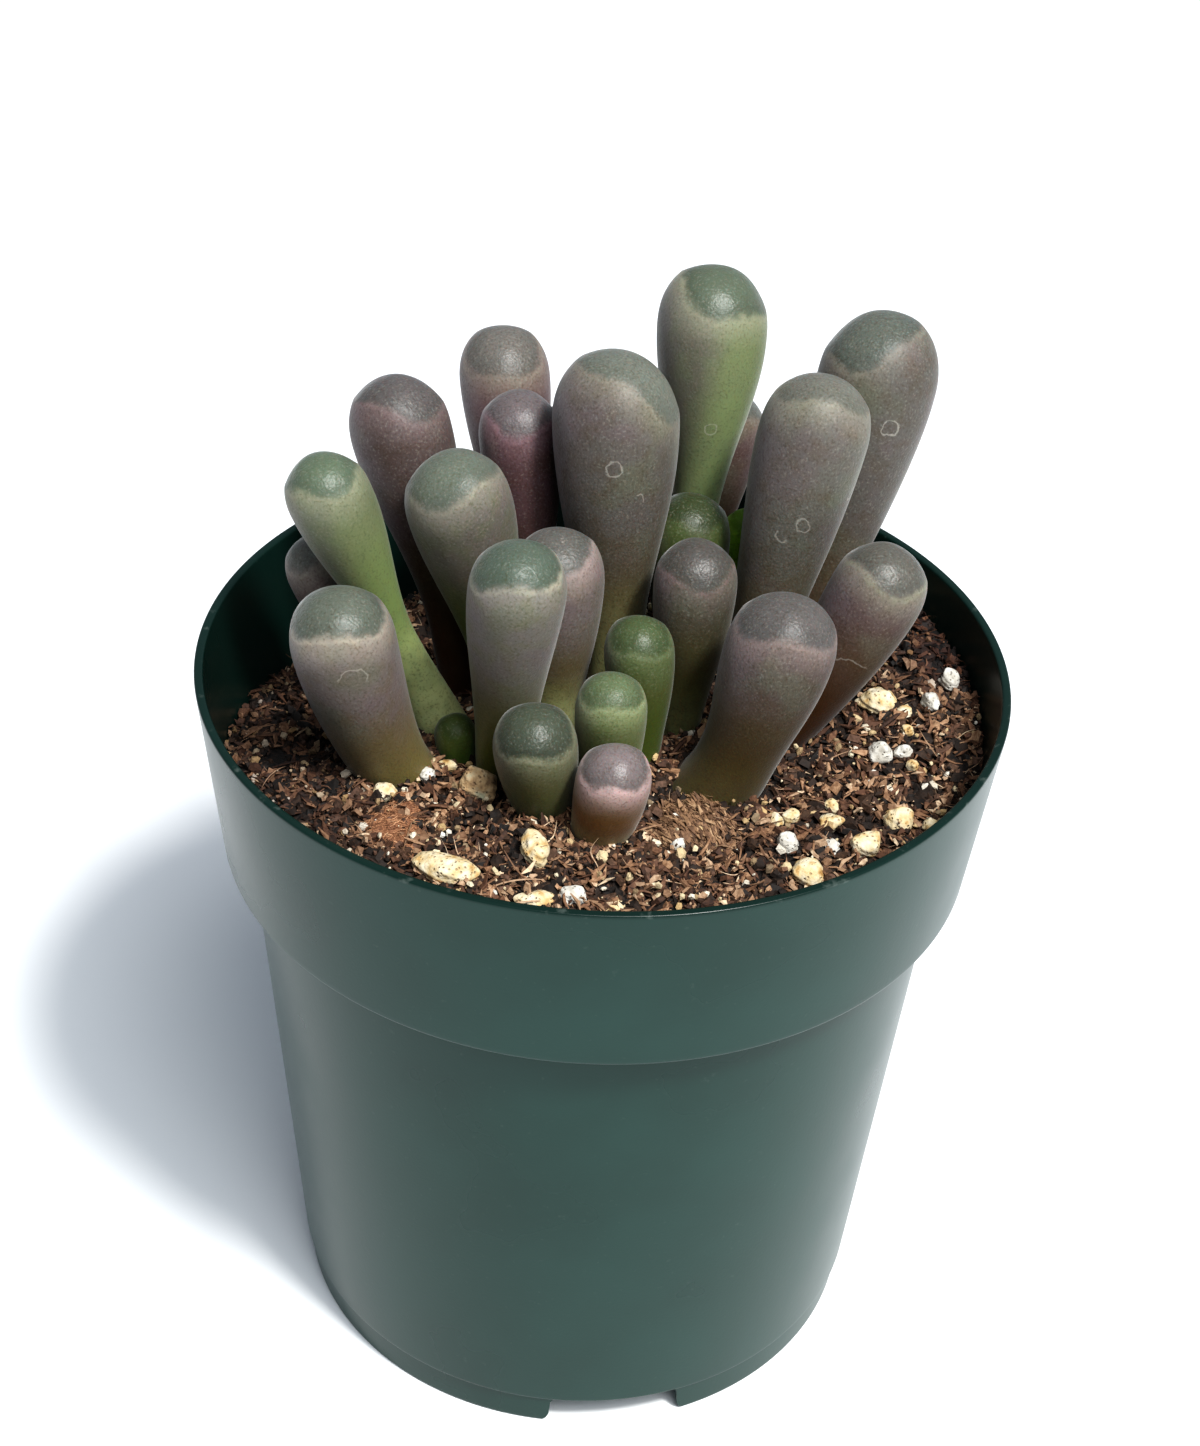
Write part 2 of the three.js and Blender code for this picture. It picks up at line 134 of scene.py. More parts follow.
def layered(tree, factor, under, over, **settings):
    """One colour laid over another."""
    links = {"Factor": factor, "A": under, "B": over}
    return add(tree, "ShaderNodeMix", {"data_type": "RGBA"} | settings, links)


def bumped(tree, height, strength, distance):
    """The way a surface faces where a height makes it uneven. The distance is in metres."""
    links = {"Height": height, "Strength": strength, "Distance": distance}
    return add(tree, "ShaderNodeBump", links=links)


def mesh_piece(name, points, faces):
    """A smooth-shaded mesh object from points in millimetres."""
    mesh = bpy.data.meshes.new(name)
    mesh.from_pydata((np.asarray(points, float) * 0.001).tolist(), [], faces)
    mesh.shade_smooth()
    made = bpy.data.objects.new(name, mesh)
    bpy.context.scene.collection.objects.link(made)
    return made


def finished(piece, material, slot, *nodes):
    """Gives a piece its material, its place on the part and the nodes it stands for."""
    piece.data.materials.clear()
    piece.data.materials.append(material)
    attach(piece, "root")
    if nodes:
        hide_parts(*nodes)


def turned(profile, sides):
    """Points and faces of a profile [radius, height] turned about the pot's axis."""
    points, rings, faces = [], [], []
    for r, z in profile:
        count = sides if r > 1e-6 else 1
        rings.append([len(points) + i for i in range(count)])
        turns = [2 * math.pi * i / sides for i in range(count)]
        points += [(r * math.cos(a), r * math.sin(a), z) for a in turns]
    for low, high in zip(rings, rings[1:]):
        for i in range(sides):
            a, b = i, (i + 1) % sides
            corners = [low[a % len(low)], low[b % len(low)]]
            corners += [high[b % len(high)], high[a % len(high)]]
            faces.append(tuple(dict.fromkeys(corners)))
    return points, faces


def rounded(corners):
    """A profile of (radius, height, fillet) corners with its fillets drawn in, and with rings
    close to each fillet so that the long walls stay straight in the light."""
    path = []
    for i, (r, z, fillet) in enumerate(corners):
        here = Vector((r, z))
        if fillet and 0 < i < len(corners) - 1:
            back = (Vector(corners[i - 1][:2]) - here).normalized() * fillet
            ahead = (Vector(corners[i + 1][:2]) - here).normalized() * fillet
            for t in (0, 0.17, 0.34, 0.5, 0.66, 0.83, 1):
                path.append(here + back * (1 - t) ** 2 + ahead * t**2)
        else:
            path.append(here)
    full = [path[0]]
    longest, margin = 9, 0.5
    for a, b in zip(path, path[1:]):
        gap = (b - a).length
        if gap > 4 * margin:
            middle = range(1, int(gap / longest) + 1)
            spots = [margin] + [gap * k / (len(middle) + 1) for k in middle] + [gap - margin]
            full += [a + (b - a) * (s / gap) for s in sorted(spots)]
        full.append(b)
    return [tuple(p) for p in full]


def baked(piece):
    """The piece with its modifiers applied, as a plain mesh under the same name."""
    bpy.context.view_layer.update()
    graph = bpy.context.evaluated_depsgraph_get()
    mesh = bpy.data.meshes.new_from_object(
        piece.evaluated_get(graph), preserve_all_data_layers=True, depsgraph=graph
    )
    piece.modifiers.clear()
    piece.data = mesh
    return piece


POT_PROFILE = rounded(
    [
        (0, FOOT_HEIGHT, 0),
        (FOOT_RADIUS - 1.2, FOOT_HEIGHT, 0.3),
        (FOOT_RADIUS - 1.0, 0, 0.25),
        (FOOT_RADIUS, 0, 0.3),
        (BODY_FOOT_RADIUS - 0.45, FOOT_HEIGHT - 0.1, 0.1),
        (BODY_FOOT_RADIUS, FOOT_HEIGHT + 0.15, 0.2),
        (BODY_TOP_RADIUS, LEDGE, 0.25),
        (BAND_FOOT_RADIUS, LEDGE, 0.45),
        (RIM_RADIUS, POT_HEIGHT, 0.35),
        (RIM_RADIUS - WALL, POT_HEIGHT, 0.35),
        (BAND_FOOT_RADIUS - WALL, LEDGE + WALL, 0.3),
        (BODY_TOP_RADIUS - WALL, LEDGE + WALL, 0.3),
        (BODY_FOOT_RADIUS - WALL, FOOT_HEIGHT + WALL, 0.6),
        (0, FOOT_HEIGHT + WALL, 0),
    ]
)
pot = mesh_piece("nursery_pot", *turned(POT_PROFILE, POT_SIDES))

half = NOTCH_HALF_WIDTH
NOTCH_OUTLINE = [(-half - 1.4, -1), (-half - 0.8, 0.1), (-half - 0.3, 0.5), (-half, 1.3)]
NOTCH_OUTLINE += [(-half + 0.15, NOTCH_RISE - 0.7), (-half + 0.4, NOTCH_RISE - 0.2)]
NOTCH_OUTLINE += [(-half + 0.9, NOTCH_RISE)]
NOTCH_OUTLINE += [(-x, z) for x, z in reversed(NOTCH_OUTLINE)]
cut_points, cut_faces = [], []
for azimuth in NOTCH_AZIMUTHS:
    a = math.radians(azimuth)
    outward, across = Vector((math.cos(a), math.sin(a), 0)), Vector((-math.sin(a), math.cos(a), 0))
    first, count = len(cut_points), len(NOTCH_OUTLINE)
    for reach in NOTCH_REACHES:
        cut_points += [outward * reach + across * x + Vector((0, 0, z)) for x, z in NOTCH_OUTLINE]
    cut_faces.append(tuple(first + i for i in range(count)))
    cut_faces.append(tuple(first + count + i for i in reversed(range(count))))
    for i in range(count):
        j = (i + 1) % count
        cut_faces.append((first + j, first + i, first + count + i, first + count + j))
    drill = [(0, DRILL_FOOT), (DRAIN_RADIUS, DRILL_FOOT)]
    drill += [(DRAIN_RADIUS, DRILL_TOP), (0, DRILL_TOP)]
    drill, drill_faces = turned(drill, DRILL_SIDES)
    first = len(cut_points)
    cut_points += [Vector(p) + outward * DRAIN_REACH for p in drill]
    cut_faces += [tuple(first + i for i in face) for face in drill_faces]
cutter = mesh_piece("foot_and_drain_cutter", cut_points, cut_faces)
cut = pot.modifiers.new("notches and drain holes", "BOOLEAN")
cut.operation, cut.solver, cut.object = "DIFFERENCE", "EXACT", cutter
baked(pot)
bpy.data.objects.remove(cutter)
pot.data.set_sharp_from_angle(angle=math.radians(30))
# Marks the inside wall above the ledge, which the material darkens with painted shade.
inside = pot.data.attributes.new("inside", "FLOAT", "POINT")
for point, mark in zip(pot.data.vertices, inside.data):
    x, y, z = point.co * 1000
    outer = RIM_RADIUS - (POT_HEIGHT - z) * (RIM_RADIUS - BAND_FOOT_RADIUS) / (POT_HEIGHT - LEDGE)
    mark.value = float(z > INSIDE_FROM and math.hypot(x, y) < outer - WALL / 2)



def moulded_polypropylene():
    """Dark green polypropylene, satin from the mould: a broad soft sheen that turns pale at
    grazing angles, a fine grain, a little dust, the rim's edge nicked paler by handling, and
    painted shade that darkens the inside wall and the rim's top."""
    made, tree, shader = new_material("moulded_dark_green_polypropylene")
    place = in_millimetres(tree)
    height = add(tree, "ShaderNodeSeparateXYZ", links={"Vector": place})
    clouds, grain = noise(tree, place, 0.06, 3), noise(tree, place, 2.6, 2)
    inner = add(tree, "ShaderNodeAttribute", {"attribute_name": "inside"})
    dust = ranged(tree, noise(tree, place, 1.3, 4), 0.66, 0.76, 0, 0.22)
    lip = ranged(tree, (height, "Z"), POT_HEIGHT - 0.5, POT_HEIGHT - 0.1, 0, 1)
    nicked = ranged(tree, noise(tree, place, 0.55, 5), 0.62, 0.72, 0, 0.3)
    worn = math_node(tree, "MULTIPLY", lip, nicked)
    # Painted shade: the inside wall and the rim's top are darkened.
    shaded = math_node(tree, "MAXIMUM", (inner, "Fac"), lip)
    deep = math_node(tree, "MULTIPLY", shaded, 0.62)
    body = ramped(tree, clouds, [(0.3, "#17332d"), (0.7, "#1c3a34")])
    for factor, tint in ((dust, "#47564f"), (worn, "#a9b5ae"), (deep, "#04120e")):
        body = layered(tree, factor, body, colour(tint))
    surface = {
        "Base Color": body,
        "Roughness": ranged(tree, clouds, 0.3, 0.7, 0.26, 0.32),
        "Normal": bumped(tree, grain, 0.12, 0.00006),
        "IOR": 1.49,
        "Specular IOR Level": 0.24,
    }
    add(tree, shader, links=surface)
    return made


finished(pot, moulded_polypropylene(), "pot", "pot")

# Rootstock: the short corky crown that carries the leaves, with its main roots, all under the
# mix. It grew as one piece. The solid from the model stays and gets a dry, flaky bark.


def root_bark():
    """Dry cork: dull brown with darker furrows along it, without any gloss."""
    made, tree, shader = new_material("dry_corky_bark")
    drawn = {"Vector": in_millimetres(tree), "Scale": (1.6, 1.6, 0.45)}
    flakes = noise(tree, add(tree, "ShaderNodeMapping", links=drawn), 0.9, 6)
    tone = ramped(tree, flakes, [(0.3, "#2f1d13"), (0.52, "#6b4a30"), (0.72, "#8c6a48")])
    bump = bumped(tree, flakes, 0.8, 0.0006)
    add(tree, shader, links={"Base Color": tone, "Normal": bump, "Roughness": 0.9})
    return made


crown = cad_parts["rootstock"]
crown.data.materials.clear()
crown.data.materials.append(root_bark())

# Potting mix, the bed: moist peat and fine coir, pressed into the pot and left lumpy on top.
# It slopes up to the right, and along the wall it has slumped.
MIX_LEVEL = 77
MIX_SLOPE = 0.07
MIX_TWIST = 0.0038
MIX_LUMP = 0.7
MIX_SLUMP = 1.5
SLUMP_REACH = 6
CLOD_COUNT = 900
CLOD_SPREAD = 44
BED_SECTORS = 300
BED_RINGS = 90
BED_GAP = 0.15
BED_EDGE_GAP = 0.12


def wall_inside(z):
    """Inner radius of the pot's rim band at a height."""
    low, high = LEDGE + WALL, POT_HEIGHT
    share = (z - low) / (high - low)
    return BAND_FOOT_RADIUS - WALL + share * (RIM_RADIUS - BAND_FOOT_RADIUS)


def mix_level(x, y):
    """Height of the mix over the table: it slopes up to the right and back, with soft lumps."""
    slope = MIX_SLOPE * x + MIX_TWIST * x * y
    wide = np.sin(0.42 * x + 1.3) * np.cos(0.37 * y - 0.6)
    fine = np.sin(0.93 * x - 0.5 * y) * np.cos(0.81 * y + 0.4 * x + 2)
    near_wall = np.clip(1 - (wall_inside(MIX_LEVEL) - np.hypot(x, y)) / SLUMP_REACH, 0, 1)
    slump = MIX_SLUMP * near_wall**2 * (3 - 2 * near_wall)
    return MIX_LEVEL + slope - slump + MIX_LUMP * (0.6 * wide + 0.4 * fine)


chance = np.random.default_rng(11)
# Clods and heaps: middle [x, y], half width and height. The heaps are at the front.
CLODS = np.column_stack(
    [
        chance.uniform(-CLOD_SPREAD, CLOD_SPREAD, (CLOD_COUNT, 2)),
        chance.uniform(0.5, 1.7, CLOD_COUNT),
        chance.normal(0, 0.4, CLOD_COUNT),
    ]
)
HEAPS = [(3.5, -25.8, 2.6, 1.1), (-1.5, -25.2, 2, 0.8), (-7.5, -21.6, 2, 0.5)]


def clodded(x, y):
    """The mix's height with its small clods and pits, and the heaps."""
    z = mix_level(x, y)
    for cx, cy, wide, high in [*CLODS, *HEAPS]:
        near = (x - cx) ** 2 + (y - cy) ** 2
        z = z + high * np.exp(-near / (2 * wide * wide))
    return z


turns = np.arange(BED_SECTORS) * 2 * math.pi / BED_SECTORS
top_rings = []
for k in range(BED_RINGS):
    reach = (1 - k / BED_RINGS) * (wall_inside(MIX_LEVEL) - BED_GAP)
    x, y = reach * np.cos(turns), reach * np.sin(turns)
    # The outermost ring is fitted to the leaning wall at its own height, in two steps.
    for _ in range(2 if k == 0 else 0):
        reach = wall_inside(clodded(x, y)) - BED_EDGE_GAP
        x, y = reach * np.cos(turns), reach * np.sin(turns)
    top_rings.append(np.column_stack([x, y, clodded(x, y)]))
# The outline under the surface keeps a little off the pot, and the rings over it are only
# counted here: their points are the ones made above.
below = [
    (0, FOOT_HEIGHT + WALL + 0.1),
    (BODY_FOOT_RADIUS - WALL - 0.6, FOOT_HEIGHT + WALL + 0.1),
    (BODY_FOOT_RADIUS - WALL - 0.15, FOOT_HEIGHT + WALL + 0.7),
    (BODY_TOP_RADIUS - WALL - 0.15, LEDGE + WALL - 0.3),
    (BODY_TOP_RADIUS - WALL, LEDGE + WALL + 0.12),
    (BAND_FOOT_RADIUS - WALL - 0.3, LEDGE + WALL + 0.12),
    (BAND_FOOT_RADIUS - WALL - 0.1, LEDGE + WALL + 0.5),
]
above = [(BED_RINGS - k, MIX_LEVEL) for k in range(BED_RINGS + 1)]
bed_points, bed_faces = turned(below + above, BED_SECTORS)
first = 1 + (len(below) - 1) * BED_SECTORS
bed_points = np.array(bed_points)
bed_points[first : first + BED_RINGS * BED_SECTORS] = np.concatenate(top_rings)
bed_points[-1, 2] = clodded(0, 0)
bed = mesh_piece("mix_bed", bed_points, bed_faces)
bed_top = mesh_piece(
    "bed_top",
    bed_points[first:],
    [tuple(i - first for i in face) for face in bed_faces if min(face) >= first],
)


def damp_and_shade_tone(tree, place, tone):
    """A colour of the mix, darkened with painted shade along the wall on the left and at the
    back right, and darker where it is damp in patches about 6 mm wide."""
    axes = add(tree, "ShaderNodeSeparateXYZ", links={"Vector": place})
    # The left and the back right are darkened with painted shade; the patches are damp mix.
    left = ranged(tree, (axes, "X"), -19, -29, 0, 0.65)
    right = ranged(tree, (axes, "X"), 29, 36, 0, 1)
    back = ranged(tree, (axes, "Y"), 2, 9, 0, 1)
    patch = ranged(tree, noise(tree, place, 0.16, 2), 0.45, 0.75, 0, 0.35)
    shade_and_damp = math_node(tree, "MULTIPLY", right, back)
    for other in (left, patch):
        shade_and_damp = math_node(tree, "MAXIMUM", shade_and_damp, other)
    return layered(tree, shade_and_damp, tone, colour("#85695a"), blend_type="MULTIPLY")


def moist_peat():
    """Moist peat and coir dust: near black in the gaps, warm brown on the clods, matt."""
    made, tree, shader = new_material("moist_peat_and_coir")
    place = in_millimetres(tree)
    crumbs = noise(tree, place, 1.7, 6)
    bits = {"Vector": place, "Scale": 1.5, "Randomness": 1}
    bits = add(tree, "ShaderNodeTexVoronoi", {"distance": "CHEBYCHEV"}, bits)
    browns = [(0.38, "#0c0704"), (0.54, "#20130b"), (0.68, "#3f2a1b"), (0.8, "#6a4e38")]
    tone = damp_and_shade_tone(tree, place, ramped(tree, crumbs, browns))
    bump = bumped(tree, math_node(tree, "ADD", crumbs, bits), 1, 0.0007)
    add(tree, shader, links={"Base Color": tone, "Normal": bump, "Roughness": 0.85})
    return made


finished(bed, moist_peat(), "potting_mix", "potting_mix")

# Potting mix, what lies loose on the bed: shredded coir husk, fibres, crumbs and chips of bark
# and small bits of stone. Each kind is strewn over the bed and baked to one mesh.
WALL_CLEARANCE = 0.1


def strewn_tree():
    """Strews shapes over a surface, each turned, leaned, sized and toned at random."""
    tree = bpy.data.node_groups.new("strewn over the bed", "GeometryNodeTree")
    inputs = [("Surface", "Geometry"), ("Shapes", "Collection"), ("Finish", "Material")]
    inputs += [("Seed", "Int"), ("Per square millimetre", "Float"), ("Patchiness", "Float")]
    inputs += [("Smallest", "Float"), ("Largest", "Float"), ("Lean", "Float")]
    inputs += [("Heading", "Float"), ("Swing", "Float"), ("Sunk", "Float"), ("Raised", "Float")]
    inputs += [("Hug", "Float")]
    for label, kind in inputs:
        tree.interface.new_socket(name=label, in_out="INPUT", socket_type=f"NodeSocket{kind}")
    tree.interface.new_socket(name="Strewn", in_out="OUTPUT", socket_type="NodeSocketGeometry")
    given = add(tree, "NodeGroupInput")

    # One random number for each shape and use, stretched to its range: low, high, and the power
    # that draws it towards low.
    uses = {
        "lift": ((given, "Sunk"), (given, "Raised"), 1),
        "lean along": (0, (given, "Lean"), 1),
        "lean across": (0, (given, "Lean"), 1),
        "turn": (0, (given, "Swing"), 1),
        "size": ((given, "Smallest"), (given, "Largest"), 1.8),
        "tone": (0, 1, 1),
    }
    drawn = {}
    for number, (use, (low, high, power)) in enumerate(uses.items(), 3):
        own = {"Seed": math_node(tree, "ADD", (given, "Seed"), number)}
        chance = add(tree, "FunctionNodeRandomValue", {"data_type": "FLOAT"}, own)
        if use in ("lean along", "lean across", "turn"):
            chance = ranged(tree, chance, 0, 1, -1, 1)
        if power != 1:
            chance = math_node(tree, "POWER", chance, power)
        spread = math_node(tree, "SUBTRACT", high, low)
        drawn[use] = math_node(tree, "MULTIPLY_ADD", chance, spread, low)

    clumps = add(tree, "ShaderNodeTexNoise", links={"Scale": 300, "Detail": 2})
    patchy = (math_node(tree, "SUBTRACT", clumps, 0.5), (given, "Patchiness"))
    share = math_node(tree, "MULTIPLY_ADD", *patchy, 0.5, use_clamp=True)
    density = math_node(tree, "MULTIPLY", share, (given, "Per square millimetre"))
    # A million square millimetres to the square metre, twice, because the share averages a half.
    per_metre = math_node(tree, "MULTIPLY", density, 2e6)
    points = {"Mesh": (given, "Surface"), "Density": per_metre, "Seed": (given, "Seed")}
    points = add(tree, "GeometryNodeDistributePointsOnFaces", links=points)
    offset = add(tree, "ShaderNodeCombineXYZ", links={"Z": drawn["lift"]})
    lifted = {"Geometry": points, "Offset": offset}
    lifted = add(tree, "GeometryNodeSetPosition", links=lifted)
    shapes = {"Collection": (given, "Shapes"), "Separate Children": True}
    shapes = add(tree, "GeometryNodeCollectionInfo", links=shapes | {"Reset Children": True})
    heading = math_node(tree, "ADD", drawn["turn"], (given, "Heading"))
    turn = {"X": drawn["lean along"], "Y": drawn["lean across"], "Z": heading}
    turn = {"Rotation": add(tree, "ShaderNodeCombineXYZ", links=turn)}
    turn |= {"Vector": (points, "Normal"), "Factor": (given, "Hug")}
    laid = {
        "Points": lifted,
        "Instance": shapes,
        "Pick Instance": True,
        "Rotation": add(tree, "FunctionNodeAlignRotationToVector", {"axis": "Z"}, turn),
        "Scale": drawn["size"],
    }
    laid = add(tree, "GeometryNodeInstanceOnPoints", links=laid)
    toned = {"Geometry": laid, "Name": "tone", "Value": drawn["tone"]}
    kept = {"data_type": "FLOAT", "domain": "INSTANCE"}
    toned = add(tree, "GeometryNodeStoreNamedAttribute", kept, toned)
    real = add(tree, "GeometryNodeRealizeInstances", links={"Geometry": toned})
    clad = {"Geometry": real, "Material": (given, "Finish")}
    add(tree, "NodeGroupOutput", links={"Strewn": add(tree, "GeometryNodeSetMaterial", links=clad)})
    return tree


STREWN = strewn_tree()


def pressed_inside(piece):
    """Presses back what would reach through the pot's wall."""
    spots = np.empty(len(piece.data.vertices) * 3)
    piece.data.vertices.foreach_get("co", spots)
    spots = spots.reshape(-1, 3)
    reach = np.hypot(spots[:, 0], spots[:, 1])
    most = (wall_inside(spots[:, 2] * 1000) - WALL_CLEARANCE) * 0.001
    spots[:, :2] *= np.minimum(1, most / np.maximum(reach, 1e-9))[:, None]
    piece.data.vertices.foreach_set("co", spots.ravel())
    piece.data.update()


def strew(name, surface, shapes, finish, many, **settings):
    """Strews so many unit shapes to a square millimetre of a surface, as one piece of the mix.
    Sizes and depths are given in millimetres."""
    piece = bpy.data.objects.new(name, surface.data.copy())
    bpy.context.scene.collection.objects.link(piece)
    layer = piece.modifiers.new(name, "NODES")
    layer.node_group = STREWN
    values = {"Patchiness": 2, "Swing": math.pi, "Sunk": 0.2, "Hug": 0} | settings
    values["Sunk"] = -values["Sunk"]
    for key in ("Smallest", "Largest", "Sunk", "Raised"):
        values[key] = values[key] * 0.001
    values |= {"Shapes": shapes, "Finish": finish, "Per square millimetre": many}
    for socket in STREWN.interface.items_tree:
        if socket.in_out == "INPUT" and socket.name in values:
            value = values[socket.name]
            measure = socket.socket_type == "NodeSocketFloat"
            layer[socket.identifier] = float(value) if measure else value
    baked(piece)
    pressed_inside(piece)
    finished(piece, finish, "potting_mix")


def kit(name, shapes, smooth=False):
    """A collection of unit shapes, kept out of the scene."""
    made = bpy.data.collections.new(name)
    for i, (points, faces) in enumerate(shapes):
        mesh = bpy.data.meshes.new(f"{name}_{i}")
        mesh.from_pydata(np.asarray(points, float).tolist(), [], faces)
        mesh.shade_smooth() if smooth else mesh.shade_flat()
        made.objects.link(bpy.data.objects.new(f"{name}_{i}", mesh))
    return made


def strand(chance, wide, thick, bend, stations, sides=4):
    """A unit-long strand along X, thinner at its ends, bent and a little twisted."""
    points, faces = [], []
    sway, arch, roll = chance.normal(0, bend), chance.normal(0, bend), chance.normal(0, 0.8)
    for i in range(stations):
        x = i / (stations - 1) - 0.5
        taper = 1 - (2 * abs(x)) ** 2.5 * 0.75
        bow = 4 * x * x - 0.3
        aside = sway * (bow + 0.5 * math.sin(7 * x))
        c, s = math.cos(2 * roll * x), math.sin(2 * roll * x)
        for k in range(sides):
            a = 2 * math.pi * (k + 0.5) / sides
            y, z = math.cos(a) * wide * taper * 0.7, math.sin(a) * thick * taper * 0.7
            points.append((x, y * c - z * s + aside, y * s + z * c + arch * bow))
    for i in range(stations - 1):
        for k in range(sides):
            a, b = i * sides + k, i * sides + (k + 1) % sides
            faces.append((a, b, b + sides, a + sides))
    faces.append(tuple(reversed(range(sides))))
    faces.append(tuple((stations - 1) * sides + k for k in range(sides)))
    return points, faces


def ball(level):
    """Points and faces of an icosphere."""
    made = bmesh.new()
    bmesh.ops.create_icosphere(made, subdivisions=level, radius=1)
    points = np.array([v.co for v in made.verts])
    faces = [tuple(v.index for v in f.verts) for f in made.faces]
    made.free()
    return points, faces


def unit(v):
    """Vectors drawn to a length of one."""
    return v / np.linalg.norm(v, axis=-1, keepdims=True)


def crumb(chance):
    """A broken lump about one unit across, low and with seven flat breaks."""
    points, faces = ball(1)
    for _ in range(7):
        way = unit(chance.normal(size=3))
        past = np.maximum(points @ way - chance.uniform(0.5, 1), 0)
        points = points - past[:, None] * way
    points = points * (1 + chance.normal(0, 0.06, (len(points), 1)))
    return points * 0.5 * np.array([1, chance.uniform(0.6, 0.95), 0.6]), faces


def flake(chance, sides=5):
    """A thin broken flake about one unit across, with five uneven sides."""
    turns = (np.arange(sides) + chance.uniform(-0.35, 0.35, sides)) * 2 * math.pi / sides
    reach = chance.uniform(0.3, 0.6, sides)
    outline = np.column_stack([reach * np.cos(turns), 0.7 * reach * np.sin(turns)])
    thick = chance.uniform(0.07, 0.17)
    heights = chance.normal(0, 0.06, sides)
    top = np.column_stack([outline * chance.uniform(0.7, 0.95), heights + thick])
    low = np.column_stack([outline, heights - thick])
    faces = [tuple(range(sides)), tuple(reversed(range(sides, 2 * sides)))]
    for k in range(sides):
        n = (k + 1) % sides
        faces.append((sides + k, sides + n, n, k))
    return np.concatenate([top, low]), faces


def husk_fibre(name, stops):
    """Shredded coir husk and bark: dry, matt and fibrous, each bit of its own brown, with
    streaks along it about 0.3 mm apart."""
    made, tree, shader = new_material(name)
    place = in_millimetres(tree)
    own = add(tree, "ShaderNodeAttribute", {"attribute_name": "tone"})
    streaks = noise(tree, place, 2.4, 3)
    streaky = ranged(tree, streaks, 0.3, 0.7, -0.18, 0.18)
    shade = math_node(tree, "ADD", (own, "Fac"), streaky, use_clamp=True)
    tone = damp_and_shade_tone(tree, place, ramped(tree, shade, stops))
    bump = bumped(tree, streaks, 0.5, 0.0002)
    add(tree, shader, links={"Base Color": tone, "Normal": bump, "Roughness": 0.8})
    return made


DARK_HUSK = husk_fibre(
    "shredded_coir_dark", [(0, "#110a06"), (0.5, "#2a1a0e"), (0.8, "#46301f"), (1, "#64493a")]
)
BROWN_HUSK = husk_fibre(
    "shredded_coir_brown", [(0, "#2a170d"), (0.45, "#5a3b28"), (0.8, "#846247"), (1, "#a88668")]
)
PALE_HUSK = husk_fibre(
    "bark_flakes_pale", [(0, "#6a4c36"), (0.5, "#937459"), (0.8, "#b1957a"), (1, "#d2bd9f")]
)
TORN_HUSK = husk_fibre(
    "torn_bark_fibre", [(0, "#4a3322"), (0.4, "#765840"), (0.8, "#907052"), (1, "#a88a6b")]
)
FELTED_HUSK = husk_fibre(
    "felted_husk_fibre", [(0, "#70492f"), (0.4, "#98694a"), (0.8, "#b3845f"), (1, "#c79b77")]
)
chance = np.random.default_rng(5)
chips = kit(
    "chip",
    [
        strand(chance, chance.uniform(0.13, 0.3), chance.uniform(0.06, 0.12), 0.1, 3)
        for _ in range(14)
    ],
)
flakes = kit("flake", [flake(chance) for _ in range(16)])
slivers = kit("sliver", [strand(chance, 0.1, 0.05, 0.09, 5) for _ in range(8)], smooth=True)
hairs = kit("hair", [strand(chance, 0.07, 0.045, 0.2, 4, 3) for _ in range(10)])
threads = kit("thread", [strand(chance, 0.022, 0.022, 0.16, 9, 3) for _ in range(6)])
crumbs = kit("crumb", [crumb(chance) for _ in range(8)])
# For each kind: its shapes and finish, how many to a square millimetre, its smallest and
# largest size, how far it leans in radians, how high it may lie, and how patchy it is.
LOOSE = [
    ("dark_coir_flakes", flakes, DARK_HUSK, 1.5, 0.8, 2.8, 0.7, 0.6, 2),
    ("brown_coir_flakes", flakes, BROWN_HUSK, 1, 0.5, 2.2, 0.9, 0.9, 4),
    ("pale_bark_flakes", flakes, PALE_HUSK, 0.6, 0.35, 1.7, 1, 1.2, 5),
    ("pale_bark_chips", chips, PALE_HUSK, 0.22, 0.8, 2.4, 0.7, 1.2, 5),
    ("brown_coir_chips", chips, BROWN_HUSK, 0.8, 0.9, 3.2, 0.7, 1, 4),
    ("coir_shreds", slivers, BROWN_HUSK, 0.14, 1.5, 5, 0.4, 1, 2),
    ("coir_threads", threads, PALE_HUSK, 0.06, 3, 9, 0.25, 1.2, 2),
    ("peat_crumbs", crumbs, DARK_HUSK, 0.5, 0.4, 1.8, 3, 0.7, 2),
]
for seed, (name, shapes, finish, many, least, most, lean, high, patchy) in enumerate(LOOSE, 21):
    strew(
        name, bed_top, shapes, finish, many, Seed=seed, Smallest=least, Largest=most,
        Lean=lean, Raised=high, Patchiness=patchy,
    )
# Two torn pieces of fibre that lie on the mix: middle [x, y], half widths, height, the way
# its fibres run and how far they stray from it in degrees, their shapes, how many to a square
# millimetre, their longest and how high they may lie.
TORN = [
    ("torn_bark", (10.6, -17.3), (4.9, 4.1), 1.7, -55, 16, chips, 17, 3, 0.12, TORN_HUSK, 28),
    ("felted_husk", (-20.6, -20.4), (3.6, 5.6), 1.1, 40, 60, hairs, 24, 1.5, 0.1, FELTED_HUSK, 29),
]
MOUND_SECTORS = 48
MOUND_RINGS = 12
MOUND_DEPTH = 0.8


